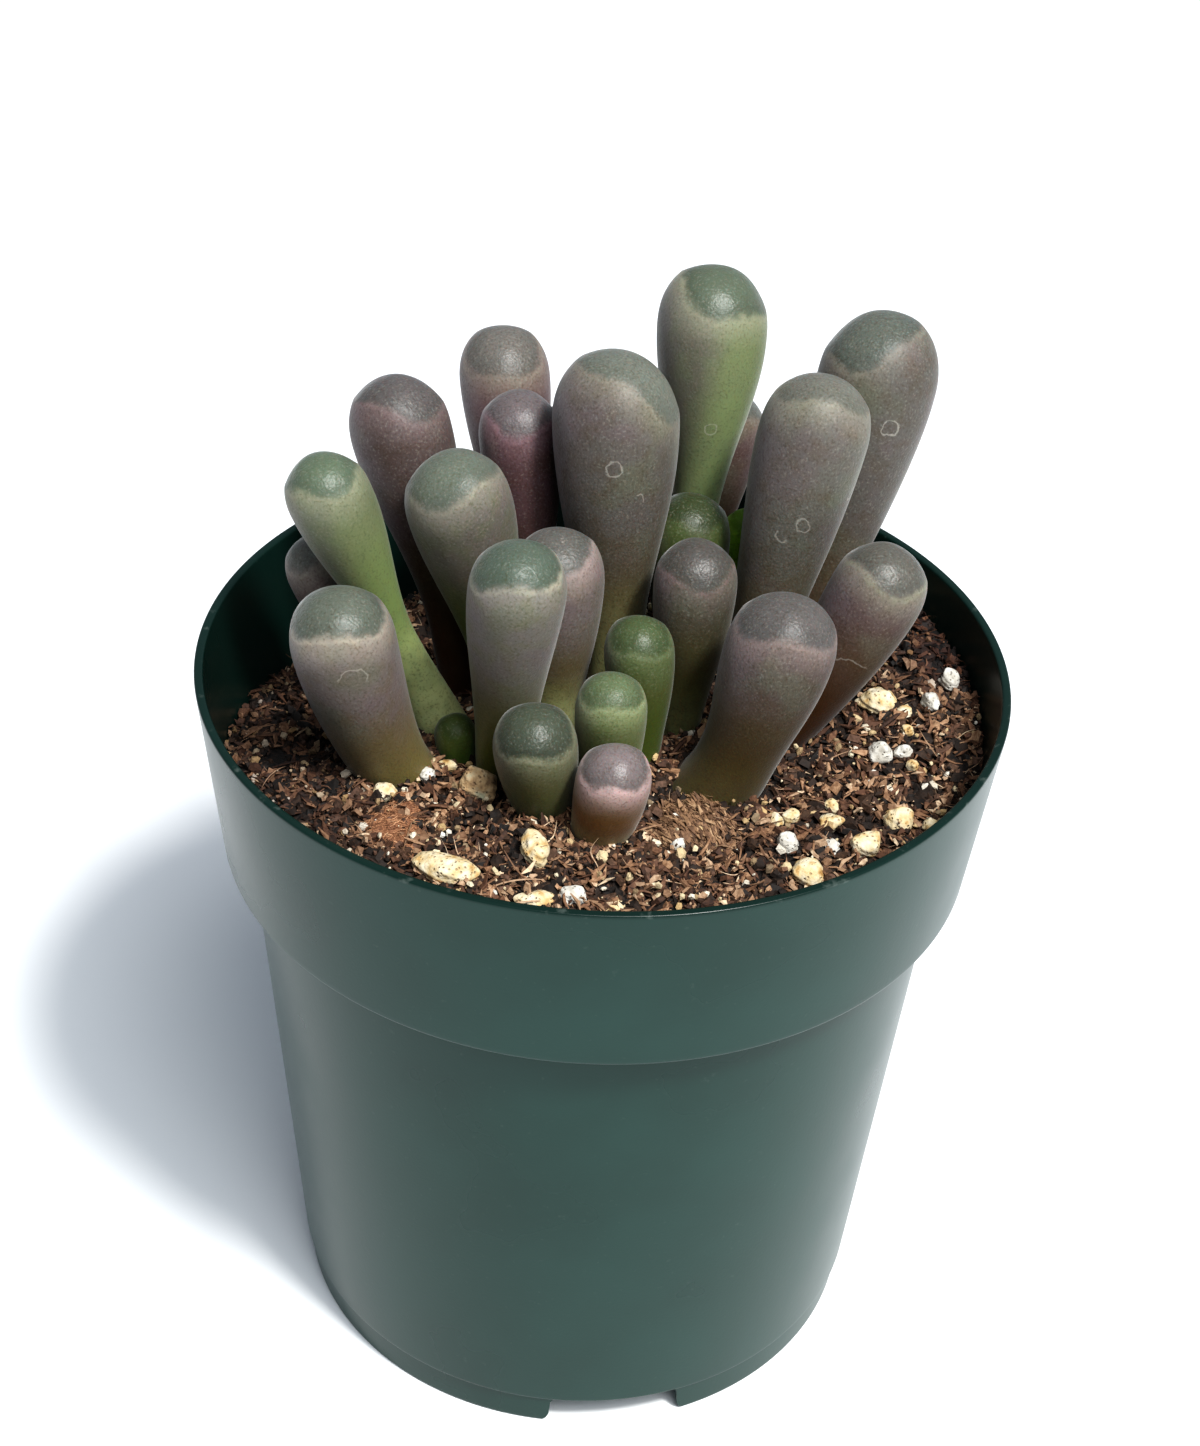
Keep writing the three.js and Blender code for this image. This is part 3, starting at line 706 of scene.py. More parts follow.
def mound_top(middle, half_widths, high, seed):
    """Points of a ragged mound's top, ring by ring from its edge to its middle."""
    (cx, cy), (wide, deep) = middle, half_widths
    points = []
    for k in range(MOUND_RINGS, -1, -1):
        share = k / MOUND_RINGS
        turns = np.arange(MOUND_SECTORS if k else 1) * 2 * math.pi / MOUND_SECTORS
        ragged = 1 + 0.12 * np.sin(3 * turns + seed) + 0.07 * np.sin(7 * turns - seed)
        x = cx + wide * share * ragged * np.cos(turns)
        y = cy + deep * share * ragged * np.sin(turns)
        rise = high * math.sqrt(1 - share**3) * (1 - 0.35 * share * np.cos(turns))
        rise = rise + 0.3 * np.sin(1.9 * x + seed) * np.sin(2.3 * y)
        points += np.column_stack([x, y, clodded(x, y) + rise - 0.3 * share]).tolist()
    return points


for name, middle, half_widths, high, heading, stray, *covering in TORN:
    shapes, many, longest, raised, finish, seed = covering
    top = mound_top(middle, half_widths, high, seed)
    _, sheet = turned([(k, 0) for k in range(MOUND_RINGS, -1, -1)], MOUND_SECTORS)
    base = [(x, y, z - high - MOUND_DEPTH) for x, y, z in top[:MOUND_SECTORS]]
    under = [len(top) + i for i in range(MOUND_SECTORS)]
    walls = []
    for i in range(MOUND_SECTORS):
        j = (i + 1) % MOUND_SECTORS
        walls.append((under[i], under[j], j, i))
    mound = mesh_piece(f"{name}_body", top + base, sheet + walls + [tuple(reversed(under))])
    cover = mesh_piece(f"{name}_cover", top, sheet)
    strew(
        f"{name}_fibres", cover, shapes, finish, many, Seed=seed, Smallest=0.7, Largest=longest,
        Lean=0.4, Raised=raised, Patchiness=0, Hug=0.8,
        Heading=math.radians(heading), Swing=math.radians(stray),
    )
    bpy.data.objects.remove(cover)
    finished(mound, finish, "potting_mix")


def crushed_stone():
    """Dust and small bits of perlite and pumice: white to straw, matt and rough."""
    made, tree, shader = new_material("crushed_perlite_and_pumice")
    place = in_millimetres(tree)
    own = add(tree, "ShaderNodeAttribute", {"attribute_name": "tone"})
    tones = [(0, "#7f6e58"), (0.35, "#b99d70"), (0.65, "#cfbf9c"), (1, "#dedad0")]
    tone = damp_and_shade_tone(tree, place, ramped(tree, (own, "Fac"), tones))
    bump = bumped(tree, noise(tree, place, 3, 4), 0.7, 0.0003)
    add(tree, shader, links={"Base Color": tone, "Normal": bump, "Roughness": 0.9})
    return made


strew(
    "stone_bits", bed_top, crumbs, crushed_stone(), 0.22, Seed=30, Smallest=0.3, Largest=1.7,
    Lean=3, Sunk=-0.3, Raised=1.2,
)
bpy.data.objects.remove(bed_top)

# Larger grains: pumice, cream to yellow with rusty pores, and white expanded perlite. They lie
# half sunk in the mix. Each is a worn, knobbly lump and stands for its node.
# For each grain: its stone, its middle [x, y, z], its size [x, y, z] and its turn in degrees.
GRAINS = [
    ("pumice", (-15, -29, 78.8), (6.8, 4, 3.4), -15),
    ("pumice", (-6, -24.4, 78.4), (3, 5, 3), 8),
    ("pumice", (-12.7, -13.6, 78.2), (4.4, 3.6, 4.6), 0),
    ("pumice", (-22.6, -14.3, 77.3), (2.8, 2.4, 2.2), 30),
    ("perlite", (-1.8, -31, 77.8), (2.9, 2.6, 2.4), 0),
    ("pumice", (-5.6, -31.4, 77.5), (4.4, 2.8, 1.8), 5),
    ("pumice", (1.9, -31.4, 77.3), (3.4, 2.4, 1.8), -10),
    ("pumice", (31, 3, 80.4), (4.8, 4, 3), 20),
    ("perlite", (39.2, 6.6, 81.3), (2.6, 2.5, 2.4), 0),
    ("perlite", (36.8, 3.4, 80.7), (2, 2.9, 2), 20),
    ("perlite", (30.8, -4.8, 79.3), (2.7, 2.8, 2.4), 0),
    ("pumice", (32.2, -16.1, 78.3), (3.5, 3.2, 3.3), 15),
    ("pumice", (28.6, -19.6, 77.8), (3.3, 3.1, 3.2), 0),
    ("pumice", (25, -16.2, 77.8), (2.9, 2.5, 2.1), 25),
    ("pumice", (22.3, -24.2, 77.4), (3.8, 3.3, 2.6), -20),
    ("perlite", (20.4, -19.8, 77.6), (2.4, 2.4, 2.4), 40),
]
RUSTY_GRAIN = "pumice_03"
# Small grains that belong to the mix's own surface: their stone, middle [x, y] and width.
SMALL_GRAINS = [
    ("pumice", (-16.4, -8.2), 2.1),
    ("perlite", (-18.5, -10.5), 2),
    ("pumice", (33.8, 1.6), 2.1),
    ("pumice", (34, -1.1), 1.8),
    ("perlite", (33.4, -4.6), 2.1),
    ("pumice", (34.2, -6.9), 1.7),
    ("pumice", (30.4, -13.1), 1.7),
    ("pumice", (25.4, -13.4), 2),
    ("pumice", (20.9, -14.9), 2),
    ("pumice", (19.2, -15.9), 2),
    ("perlite", (25, -19.4), 2.1),
    ("pumice", (35.7, -14.9), 1.9),
    ("perlite", (8.9, -21.1), 1.8),
]


def stone(name, colours, pore_size, warm):
    """Pumice and perlite: froth of volcanic glass, matt, pitted, with dust and rust in it."""
    made, tree, shader = new_material(name)
    place = in_millimetres(tree)
    stains, knobs = noise(tree, place, 0.75, 4), noise(tree, place, 1.1, 5)
    pores = {"Vector": place, "Scale": 1 / pore_size, "Randomness": 1}
    pit = ranged(tree, add(tree, "ShaderNodeTexVoronoi", links=pores), 0.06, 0.3, 0.45, 1)
    tone = layered(tree, pit, colour(warm), ramped(tree, stains, colours))
    bump = bumped(tree, math_node(tree, "ADD", knobs, pit), 0.9, 0.0004)
    add(tree, shader, links={"Base Color": tone, "Normal": bump, "Roughness": 0.92})
    return made


STONE = {
    "pumice": stone(
        "cream_pumice",
        [(0.27, "#98713f"), (0.37, "#bb9a66"), (0.48, "#cdba92"), (0.66, "#d8cdb5")],
        0.55,
        "#8a6540",
    ),
    "perlite": stone(
        "white_perlite",
        [(0.3, "#aaa498"), (0.5, "#c9c5bc"), (0.7, "#dcdad3")],
        0.45,
        "#978a78",
    ),
    "rusty": stone(
        "rusty_pumice",
        [(0.34, "#8b7053"), (0.46, "#b99a72"), (0.58, "#c2ab88"), (0.72, "#b3b094")],
        0.5,
        "#553c26",
    ),
}


def grain_mesh(middle, size, turn, seed, level):
    """The same knobbly lump as the model's, finer, with small pits and broken faces."""
    points, faces = ball(level)
    x, y, z = points.T
    knob = np.sin(3.1 * x + seed) + np.sin(2.7 * y + 1.7 * seed) + np.sin(3.7 * z - seed)
    small = np.sin(9 * x + 2 * seed) * np.sin(8 * y - seed) + np.sin(11 * z + x * 5 + seed)
    chance = np.random.default_rng(seed + 70)
    points = points * (0.96 + 0.049 * knob + 0.03 * small)[:, None]
    for _ in range(7):
        bulge = np.exp(11 * (unit(points) @ unit(chance.normal(size=3)) - 1))
        points = points * (1 + 0.24 * bulge)[:, None]
    for _ in range(7):
        way = unit(chance.normal(size=3))
        past = np.maximum(points @ way - chance.uniform(0.8, 1), 0)
        points = points - 0.55 * past[:, None] * way
    # A little over half the size each way, to make up for the pits.
    points = points / np.abs(points).max(axis=0) * np.array(size) * 0.53
    c, s = math.cos(math.radians(turn)), math.sin(math.radians(turn))
    x, y, z = points.T
    return np.column_stack([x * c - y * s, x * s + y * c, z]) + np.array(middle), faces


numbers = {"pumice": 0, "perlite": 0}
for seed, (kind, middle, size, turn) in enumerate(GRAINS):
    numbers[kind] += 1
    number = f"{numbers[kind]:02d}"
    level = 5 if max(size) > 4 else 4
    lump = mesh_piece(f"{kind}_lump_{number}", *grain_mesh(middle, size, turn, seed, level))
    finish = "rusty" if f"{kind}_{number}" == RUSTY_GRAIN else kind
    finished(lump, STONE[finish], kind, f"{kind}_grain_{number}")
for place, (kind, (x, y), width) in enumerate(SMALL_GRAINS):
    middle = (x, y, mix_level(x, y) + 0.5)
    size = (width, width * 0.85, width * 0.8)
    lump = grain_mesh(middle, size, turn=50 * place, seed=31 + place, level=4)
    lump = mesh_piece(f"small_{kind}_{place + 1:02d}", *lump)
    finished(lump, STONE[kind], kind)

# Leaves: juicy clubs with a matt, waxy skin, each ending in a clear window under a flattened,
# rounded-triangular top. A thin pale rim runs round the window. Each stalk flares at its foot.
CROWN = 73.5
CLUB_TOP = 0.62
FOOT_REACH = 16
WINDOW_BULGE = 0.11
WINDOW_FLATNESS = 0.15
WINDOW_REACH = 1.2
RIM_REACH = 1.6
FAR_OUTSIDE = -20
STEEPEST = 1.4
OVALNESS = 0.012
UNEVENNESS = 0.008
LEAF_SIDES = 54
STALK_RINGS = 40
DOME_RINGS = 25
LINE_STEPS = 400
# For each leaf: where it joins the crown [x, y], the bend that pulls its middle [x, y, z], its
# tip [x, y, z], the club's width, the stalk's width as a share of it, where the taper ends in
# club widths below the tip, the foot's width as a share of the club's, the way its window faces
# [x, y, z], the azimuth of one corner of the window and its opening angle, both in degrees.
LEAVES = [
    [(7.5, 20), (10.7, 21, 95), (9.85, 25.5, 122.3), 12.2, 0.42, 2.5, 0.42, (0.25, -0.05, 1), -115, 50],
    [(21, 15), (26.1, 17, 92), (29.9, 25, 118), 13.3, 0.48, 2.8, 0.48, (-0.3, 0, 1), -105, 46],
    [(16, 9), (18, 7.5, 92), (22.6, 12, 116.6), 12, 0.6, 2.9, 0.6, (0.15, 0.3, 1), 90, 50],
    [(1.5, 7), (0.5, 8, 92), (-0.3, 12, 118.2), 13.9, 0.45, 2.7, 0.45, (0.5, 0.3, 1), -40, 55],
    [(-9, 16.5), (-10.5, 20, 90), (-13.9, 30, 111.4), 10.4, 0.45, 2.7, 0.45, (-0.05, -0.2, 1), 90, 51],
    [(-7, 11), (-8.5, 12.5, 90), (-11.3, 17.2, 110), 9.2, 0.45, 2.7, 0.45, (0, -0.05, 1), -95, 54],
    [(-16, 9), (-17.7, 9, 88), (-25.4, 14.5, 112.4), 11.1, 0.42, 2.7, 0.42, (0.05, 0.15, 1), -60, 54],
    [(-11.5, 4.5), (-12.7, 6, 88), (-17.7, 1.3, 109.8), 11.4, 0.38, 2.7, 0.38, (-0.3, -0.05, 1), -105, 55],
    [(-16.5, 0.7), (-20.6, 0, 82), (-31.6, -1, 110.5), 9, 0.45, 2.7, 0.64, (-0.2, -0.05, 1), -60, 56],
    [(-20.4, -7.3), (-25.4, -9.8, 80), (-28, -13, 101.4), 11.1, 0.7, 2.8, 0.7, (-0.1, -0.05, 1), 90, 54],
    [(-21, 6.5), (-28, 6, 80), (-32.8, 5, 97), 7.8, 0.5, 2.7, 0.5, (-0.3, 0, 1), 0, 54],
    [(-10.3, -6.5), (-10.7, -8, 86), (-8.7, -14.1, 108.4), 10.2, 0.66, 2.8, 0.6, (-0.1, -0.1, 1), 90, 55],
    [(-5, -1), (-6, -1, 84), (-5.4, -1.7, 103.5), 10.4, 0.5, 2.8, 0.5, (-0.2, 0.1, 1), -60, 56],
    [(8.5, 13), (9, 13, 84), (8.7, 14.3, 99.6), 9.2, 0.52, 2.7, 0.52, (0, 0.1, 1), -60, 54],
    [(13.5, 17.5), (14.5, 18, 84), (15.8, 18.5, 95.5), 5.5, 0.6, 2.7, 0.6, (0, 0, 1), 0, 54],
    [(11, 27.5), (11.5, 28, 88), (13.8, 31, 103.8), 8, 0.5, 2.7, 0.5, (0.1, 0.1, 1), 0, 54],
    [(1, 20), (0, 20.5, 88), (-4.6, 22.5, 107.6), 8, 0.5, 2.7, 0.5, (0, 0, 1), 0, 54],
    [(8.5, 1), (9.2, 0, 84), (9.6, 2, 101.1), 9.1, 0.52, 2.7, 0.52, (0, -0.1, 1), -75, 56],
    [(4.6, -5.8), (4.6, -5, 82), (3.3, -5, 95.2), 7.6, 0.52, 2.7, 0.52, (0, -0.15, 1), 90, 54],
    [(1.2, -10.5), (1.1, -10.5, 80), (1, -13.5, 92.9), 7.6, 0.7, 2.7, 0.7, (0, -0.1, 1), 90, 54],
    [(-5.3, -13), (-6, -14.5, 78), (-7.1, -17.5, 91), 8.9, 0.58, 2.3, 0.58, (-0.05, -0.33, 1), 90, 58],
    [(0, -17), (0.8, -18.7, 77), (2.2, -20.8, 89.1), 7.9, 0.85, 2, 0.78, (0, -0.2, 1), 90, 58],
    [(11.1, -8), (15.6, -11.4, 79.3), (19.6, -9, 101.8), 11.7, 0.58, 2.3, 0.82, (0.1, 0.1, 1), 90, 57],
    [(16.2, 0.7), (22.2, -1, 78.5), (30.9, 0, 102.6), 10.2, 0.62, 2.8, 0.62, (0.3, 0.05, 1), -80, 55],
    [(-15.2, -4.2), (-15.6, -4.4, 75), (-16, -5.3, 81.2), 4.7, 0.56, 2.7, 0.56, (0, -0.2, 1), 0, 50],
]
# For each leaf, from 0 to 1: how green and how mauve its club is, how green its stalk is
# (0 is brown), how green its window is, how pink the window's rim is, how far the green of the
# stalk climbs up its right side, how deep in colour the leaf is (partly painted shade and
# painted light, set for how each leaf lies in the light), how far the grey bloom reaches down
# from its window, how pale its foot is (partly painted light on feet that lie in shade), how
# dim its window is, and how plainly the window's rim shows.
TINTS = [
    (0.22, 0.1, 0.85, 0.6, 0, 0.86, 0.02, 0.72, 1.4, 0.14, 0.8),
    (0, 0.12, 0.1, 0.5, 0.1, 0, 0.36, 1.1, 0, -0.12, 1),
    (0.05, 0.06, 0.12, 0.1, 0, 0, 0.22, 1, 0, -0.13, 0.75),
    (0.03, 0.13, 0.15, 0.35, 0, 0, 0.3, 0.85, 0.5, -0.22, 0.8),
    (0, 0.85, 0, 0, 0.15, 0, 0.12, 0.5, 0, 0, 0.78),
    (0, 0.95, 0, 0, 1.3, 0, 0.28, 0.6, 0, -0.05, 0.95),
    (0, 0.55, 0, 0.05, 0.8, 0, 0.42, 0.75, 0, 0, 0.9),
    (0.03, 0.15, 1, 0.5, 0, 0.15, 0.08, 0.5, 0, 0, 0.95),
    (0.3, 0.03, 1, 0.8, 0, 0.6, 0.1, 0.6, 1.25, 0, 0.8),
    (0, 0.27, 0.3, 0.5, 0.1, 0, -0.18, 0.82, 0.15, 0.2, 0.95),
    (0, 0.5, 0.2, 0.2, 0.1, 0, 0.1, 0.8, 0, 0, 0.6),
    (0, 0.1, 0.7, 0.8, 0, 0, -0.2, 0.8, 0, 0.25, 1.4),
    (0, 0.3, 0.4, 0.3, 0.6, 0, -0.1, 0.6, 1.1, 0.22, 0.9),
    (1.3, 0, 1.1, 1, 0, 0, 0.75, 0, 0, 0.1, 0.5),
    (1.9, 0, 1.6, 1, 0, 0, -0.9, 0.1, 0, 0.3, 0),
    (0, 0.7, 0.1, 0.3, 0.2, 0, 0.1, 0.6, 0, 0, 0.5),
    (0, 0.7, 0.1, 0.3, 0.2, 0, 0.1, 0.6, 0, 0, 0.5),
    (0.1, 0.3, 0.6, 0.2, 0.9, 0, 0.5, 0.3, 0.3, 0.05, 0.95),
    (1, 0.05, 0.95, 1, 0, 0, 0.45, 0.2, 0, 0, 1),
    (0.7, 0.03, 1, 0.8, 0, 0, -0.1, 0.35, 0, 0.1, 1),
    (0.35, 0.1, 0.7, 0.55, 0, 0, 0.05, 0.25, 0, 0.32, 1.2),
    (0, 0.3, 0.1, -0.3, 0.9, 0, -0.9, 0, 0.3, 0.33, 0.8),
    (0, 0.45, 0.25, 0, 0.6, 0, 0.3, 0.5, 0.1, 0.06, 0.9),
    (0.1, 0.6, 0, -0.1, -0.3, 0, 0.2, 0.3, 0, 0.1, 0.95),
    (1.2, 0, 1.2, 1, 0, 0, 0.4, 0, 0, 0.1, 0),
]
SCAR_WIDTH = 0.16
SCAR_STRENGTH = 0.32
# Old scars in the skin: the leaf, the scar's middle [x, y, z], its radius, and the way towards
# the part of the ring that healed over and no longer shows [x, y, z], with how much of it did.
SCARS = [
    (4, (0.1, 3.5, 108.1), 0.9, (0, 0, 1), 0),
    (4, (2.9, 4.1, 104.3), 0.55, (-0.8, 0, -0.6), 0.6),
    (3, (20.6, 4.3, 102), 0.75, (1, 0, 0), 0),
    (3, (18.5, 4.4, 100.6), 0.8, (0.7, 0, 0.7), 0.55),
    (3, (25.8, 7.9, 104.2), 0.6, (0, 0, 1), 0),
    (2, (30, 15.9, 108.1), 0.9, (0, 0, 1), 0),
    (1, (10.5, 18.6, 105.5), 0.6, (0, 0, 1), 0),
    (10, (-25.6, -16.7, 93.5), 1.5, (0, 0, -1), 0.5),
    (24, (26, -5.1, 88.9), 2.4, (0, 0, -1), 0.8),
    (13, (-4.9, -2.6, 102.3), 0.5, (1, 0, 0), 0.4),
    (23, (15.6, -14.2, 91), 0.5, (0, 0, 1), 0.4),
]


def ease(low, high, v):
    """From 0 at low to 1 at high, with soft ends."""
    t = np.clip((v - low) / (high - low), 0, 1)
    return t * t * (3 - 2 * t)


def club_radius(above, length, width, stalk, taper, foot):
    """Half width of a leaf at a distance from its root along its middle line."""
    u = (length - above) / width
    dome = (1 - np.clip(1 - u / CLUB_TOP, 0, 1) ** 2.2) ** (1 / 2.1)
    flare = (foot - stalk) * (1 - ease(0, FOOT_REACH, above))
    waist = 1 + (stalk + flare - 1) * ease(CLUB_TOP, taper, u)
    return width / 2 * np.where(u < CLUB_TOP, dome, waist)


def curve(a, b, c, t):
    """Points of a quadratic curve from a to c, drawn towards b."""
    return a * (1 - t) ** 2 + 2 * b * t * (1 - t) + c * t * t


def leaf_body(a, b, c, width, stalk, taper, foot, seed):
    """Points of a leaf's club and stalk, ring by ring along the curve a, b, c, with how far
    along it each point is. The rings stand closer on the dome."""
    t = np.linspace(0, 1, LINE_STEPS)[:, None]
    steps = np.linalg.norm(np.diff(curve(a, b, c, t), axis=0), axis=1)
    run = np.concatenate([[0], np.cumsum(steps)])
    length = run[-1]
    dome = width * CLUB_TOP
    at_tip = length - dome * np.linspace(1, 0, DOME_RINGS + 2)[1:-1] ** 1.6
    along = np.concatenate([np.linspace(0, length - dome, STALK_RINGS), at_tip])
    s = np.interp(along, run, t[:, 0])[:, None]
    spine = curve(a, b, c, s)
    way = unit(2 * (1 - s) * (b - a) + 2 * s * (c - b))
    across = unit(np.cross(way, [0, 1, 0.2]))
    back = np.cross(across, way)
    turns = np.arange(LEAF_SIDES) * 2 * math.pi / LEAF_SIDES
    radius = club_radius(along, length, width, stalk, taper, foot)[:, None]
    swell = 1 + OVALNESS * np.sin(2 * turns + seed) * ease(0, 12, length - along)[:, None]
    swell = swell + UNEVENNESS * np.sin(3 * turns - seed + along[:, None] * 0.3)
    radius = radius * swell
    spots = (
        spine[:, None]
        + radius[..., None] * np.cos(turns)[None, :, None] * across[:, None]
        + radius[..., None] * np.sin(turns)[None, :, None] * back[:, None]
    )
    points = np.concatenate([[a], spots.reshape(-1, 3), [c]])
    return points, np.concatenate([[0], np.repeat(along, LEAF_SIDES), [length]])


def window_border(phi, opening, frame_of, end, dome, width):
    """How far the window opens in each direction round it, as an angle from its middle, and how
    high its plane is there over the dome's middle."""
    normal, to_corner, side = frame_of
    edge = math.radians(opening) * (1 + WINDOW_BULGE * np.cos(3 * phi))
    over = (
        normal * np.cos(edge)[:, None]
        + to_corner * (np.sin(edge) * np.cos(phi))[:, None]
        + side * (np.sin(edge) * np.sin(phi))[:, None]
    )
    k = np.maximum(over @ end, 0)
    reach = 1 / np.sqrt(k**2 / dome**2 + (1 - k**2) / (width / 2) ** 2)
    return edge, reach * np.cos(edge)


def leaf_mesh(name, row, seed):
    """One leaf: its body, with the top flattened to the window. Each point carries how far it
    is inside the window's rim, how far up the leaf, and how far to the right."""
    root, bend, tip, width, stalk, taper, foot, facing, corner, opening = row
    a, b, c = (np.array(p, float) for p in ((*root, CROWN), bend, tip))
    points, rise = leaf_body(a, b, c, width, stalk, taper, foot, seed)
    end = unit(c - b)
    dome = width * CLUB_TOP
    normal = unit(np.array(facing, float))
    azimuth = math.radians(corner)
    to_corner = np.array([math.cos(azimuth), math.sin(azimuth), 0])
    to_corner = unit(to_corner - normal * (to_corner @ normal))
    side = np.cross(normal, to_corner)
    window = (opening, (normal, to_corner, side), end, dome, width)

    middle = c - dome * end
    out = points - middle
    far = np.linalg.norm(out, axis=1)
    ray = out / far[:, None]
    angle = np.arccos(np.clip(ray @ normal, -1, 1))
    edge, level = window_border(np.arctan2(ray @ side, ray @ to_corner), *window)
    turns = np.arange(LEAF_SIDES) * 2 * math.pi / LEAF_SIDES
    centre = window_border(turns, *window)[1].mean()
    level = centre + (level - centre) * ease(0, 1, angle / edge)
    flat = level / np.cos(np.minimum(angle, STEEPEST))
    inside = (angle < edge) & (far < WINDOW_REACH * width)
    now = np.where(inside, far + WINDOW_FLATNESS * np.minimum(flat - far, 0), far)
    points = middle + ray * now[:, None]
    to_rim = np.where(far < RIM_REACH * width, (edge - angle) * far, FAR_OUTSIDE)
    lateral = out @ unit(np.array([1, 0, 0]) - end * end[0]) / (width / 2)

    rings = STALK_RINGS + DOME_RINGS
    faces = []
    for i in range(rings - 1):
        for n in range(LEAF_SIDES):
            p, q = 1 + i * LEAF_SIDES + n, 1 + i * LEAF_SIDES + (n + 1) % LEAF_SIDES
            faces.append((q, p, p + LEAF_SIDES, q + LEAF_SIDES))
    last = 1 + (rings - 1) * LEAF_SIDES
    for n in range(LEAF_SIDES):
        m = (n + 1) % LEAF_SIDES
        faces += [(0, 1 + n, 1 + m), (len(points) - 1, last + m, last + n)]
    made = mesh_piece(name, points, faces)
    for label, values in (("to_rim", to_rim), ("rise", rise), ("flank", lateral)):
        layer = made.data.attributes.new(label, "FLOAT", "POINT")
        layer.data.foreach_set("value", values.astype(np.float32))
    return made, rise[-1]


def blend(a, b, share):
    """A colour between two hex codes, as a hex code."""
    parts = [
        round(int(a[i : i + 2], 16) * (1 - share) + int(b[i : i + 2], 16) * share)
        for i in (1, 3, 5)
    ]
    return "#" + "".join(f"{min(max(p, 0), 255):02x}" for p in parts)


def leaf_colours(tints):
    """The colours of a leaf's stalk, its middle, its club, its window and the window's rim."""
    green, mauve, stalk_green, window_green, pink, climb, depth, _, _, dim, rimmed = tints
    club = blend(blend("#66645e", "#61713a", green), "#644a4c", mauve)
    low = blend(blend("#4a2d06", "#5a6c26", stalk_green), "#47221e", mauve * 0.4)
    low = blend(low, "#84946a", climb)
    clear = blend(blend("#6a6762", "#5a685a", window_green), "#74636a", pink * 0.4)
    clear = blend(blend(clear, "#5c6c3e", green * 0.7), club, 1 - min(1, 5 * rimmed))
    rim = blend(blend("#a39e8c", "#97a27e", green), "#ab9092", pink)
    # Depth darkens all the colours, and lightens them when below 0; on some leaves this is painted shade
    # and painted light.
    club, low, clear, rim = (blend(c, "#000000", depth * 0.5) for c in (club, low, clear, rim))
    clear = blend(clear, "#0d100e", dim)
    middle = blend("#5a5034", "#7c8c62", stalk_green * climb)
    middle = blend(blend(low, club, 0.5), middle, 0.3 + 0.4 * climb)
    return low, middle, club, clear, rim


def scar_spans(tree, place, waver, scars):
    """The ranges of position that draw each scar: inside its ring, outside it, and what of it
    still shows."""
    spans = {}
    for k, (spot, radius, healed, lost) in enumerate(scars):
        off = {"Vector": [place, spot]}
        off = add(tree, "ShaderNodeVectorMath", {"operation": "SUBTRACT"}, off)
        far = add(tree, "ShaderNodeVectorMath", {"operation": "LENGTH"}, {"Vector": off})
        toward = {"Vector": [off, healed]}
        toward = add(tree, "ShaderNodeVectorMath", {"operation": "DOT_PRODUCT"}, toward)
        bent = math_node(tree, "ADD", (far, "Value"), waver)
        spans[f"scar {k} inside"] = (bent, radius - SCAR_WIDTH, radius, 0, 1)
        spans[f"scar {k} outside"] = (bent, radius, radius + SCAR_WIDTH, 1, 0)
        ends = (radius * (0.9 - 2 * lost), radius * (1.3 - 2 * lost))
        spans[f"scar {k} kept"] = ((toward, "Value"), *ends, SCAR_STRENGTH, 0)
    return spans


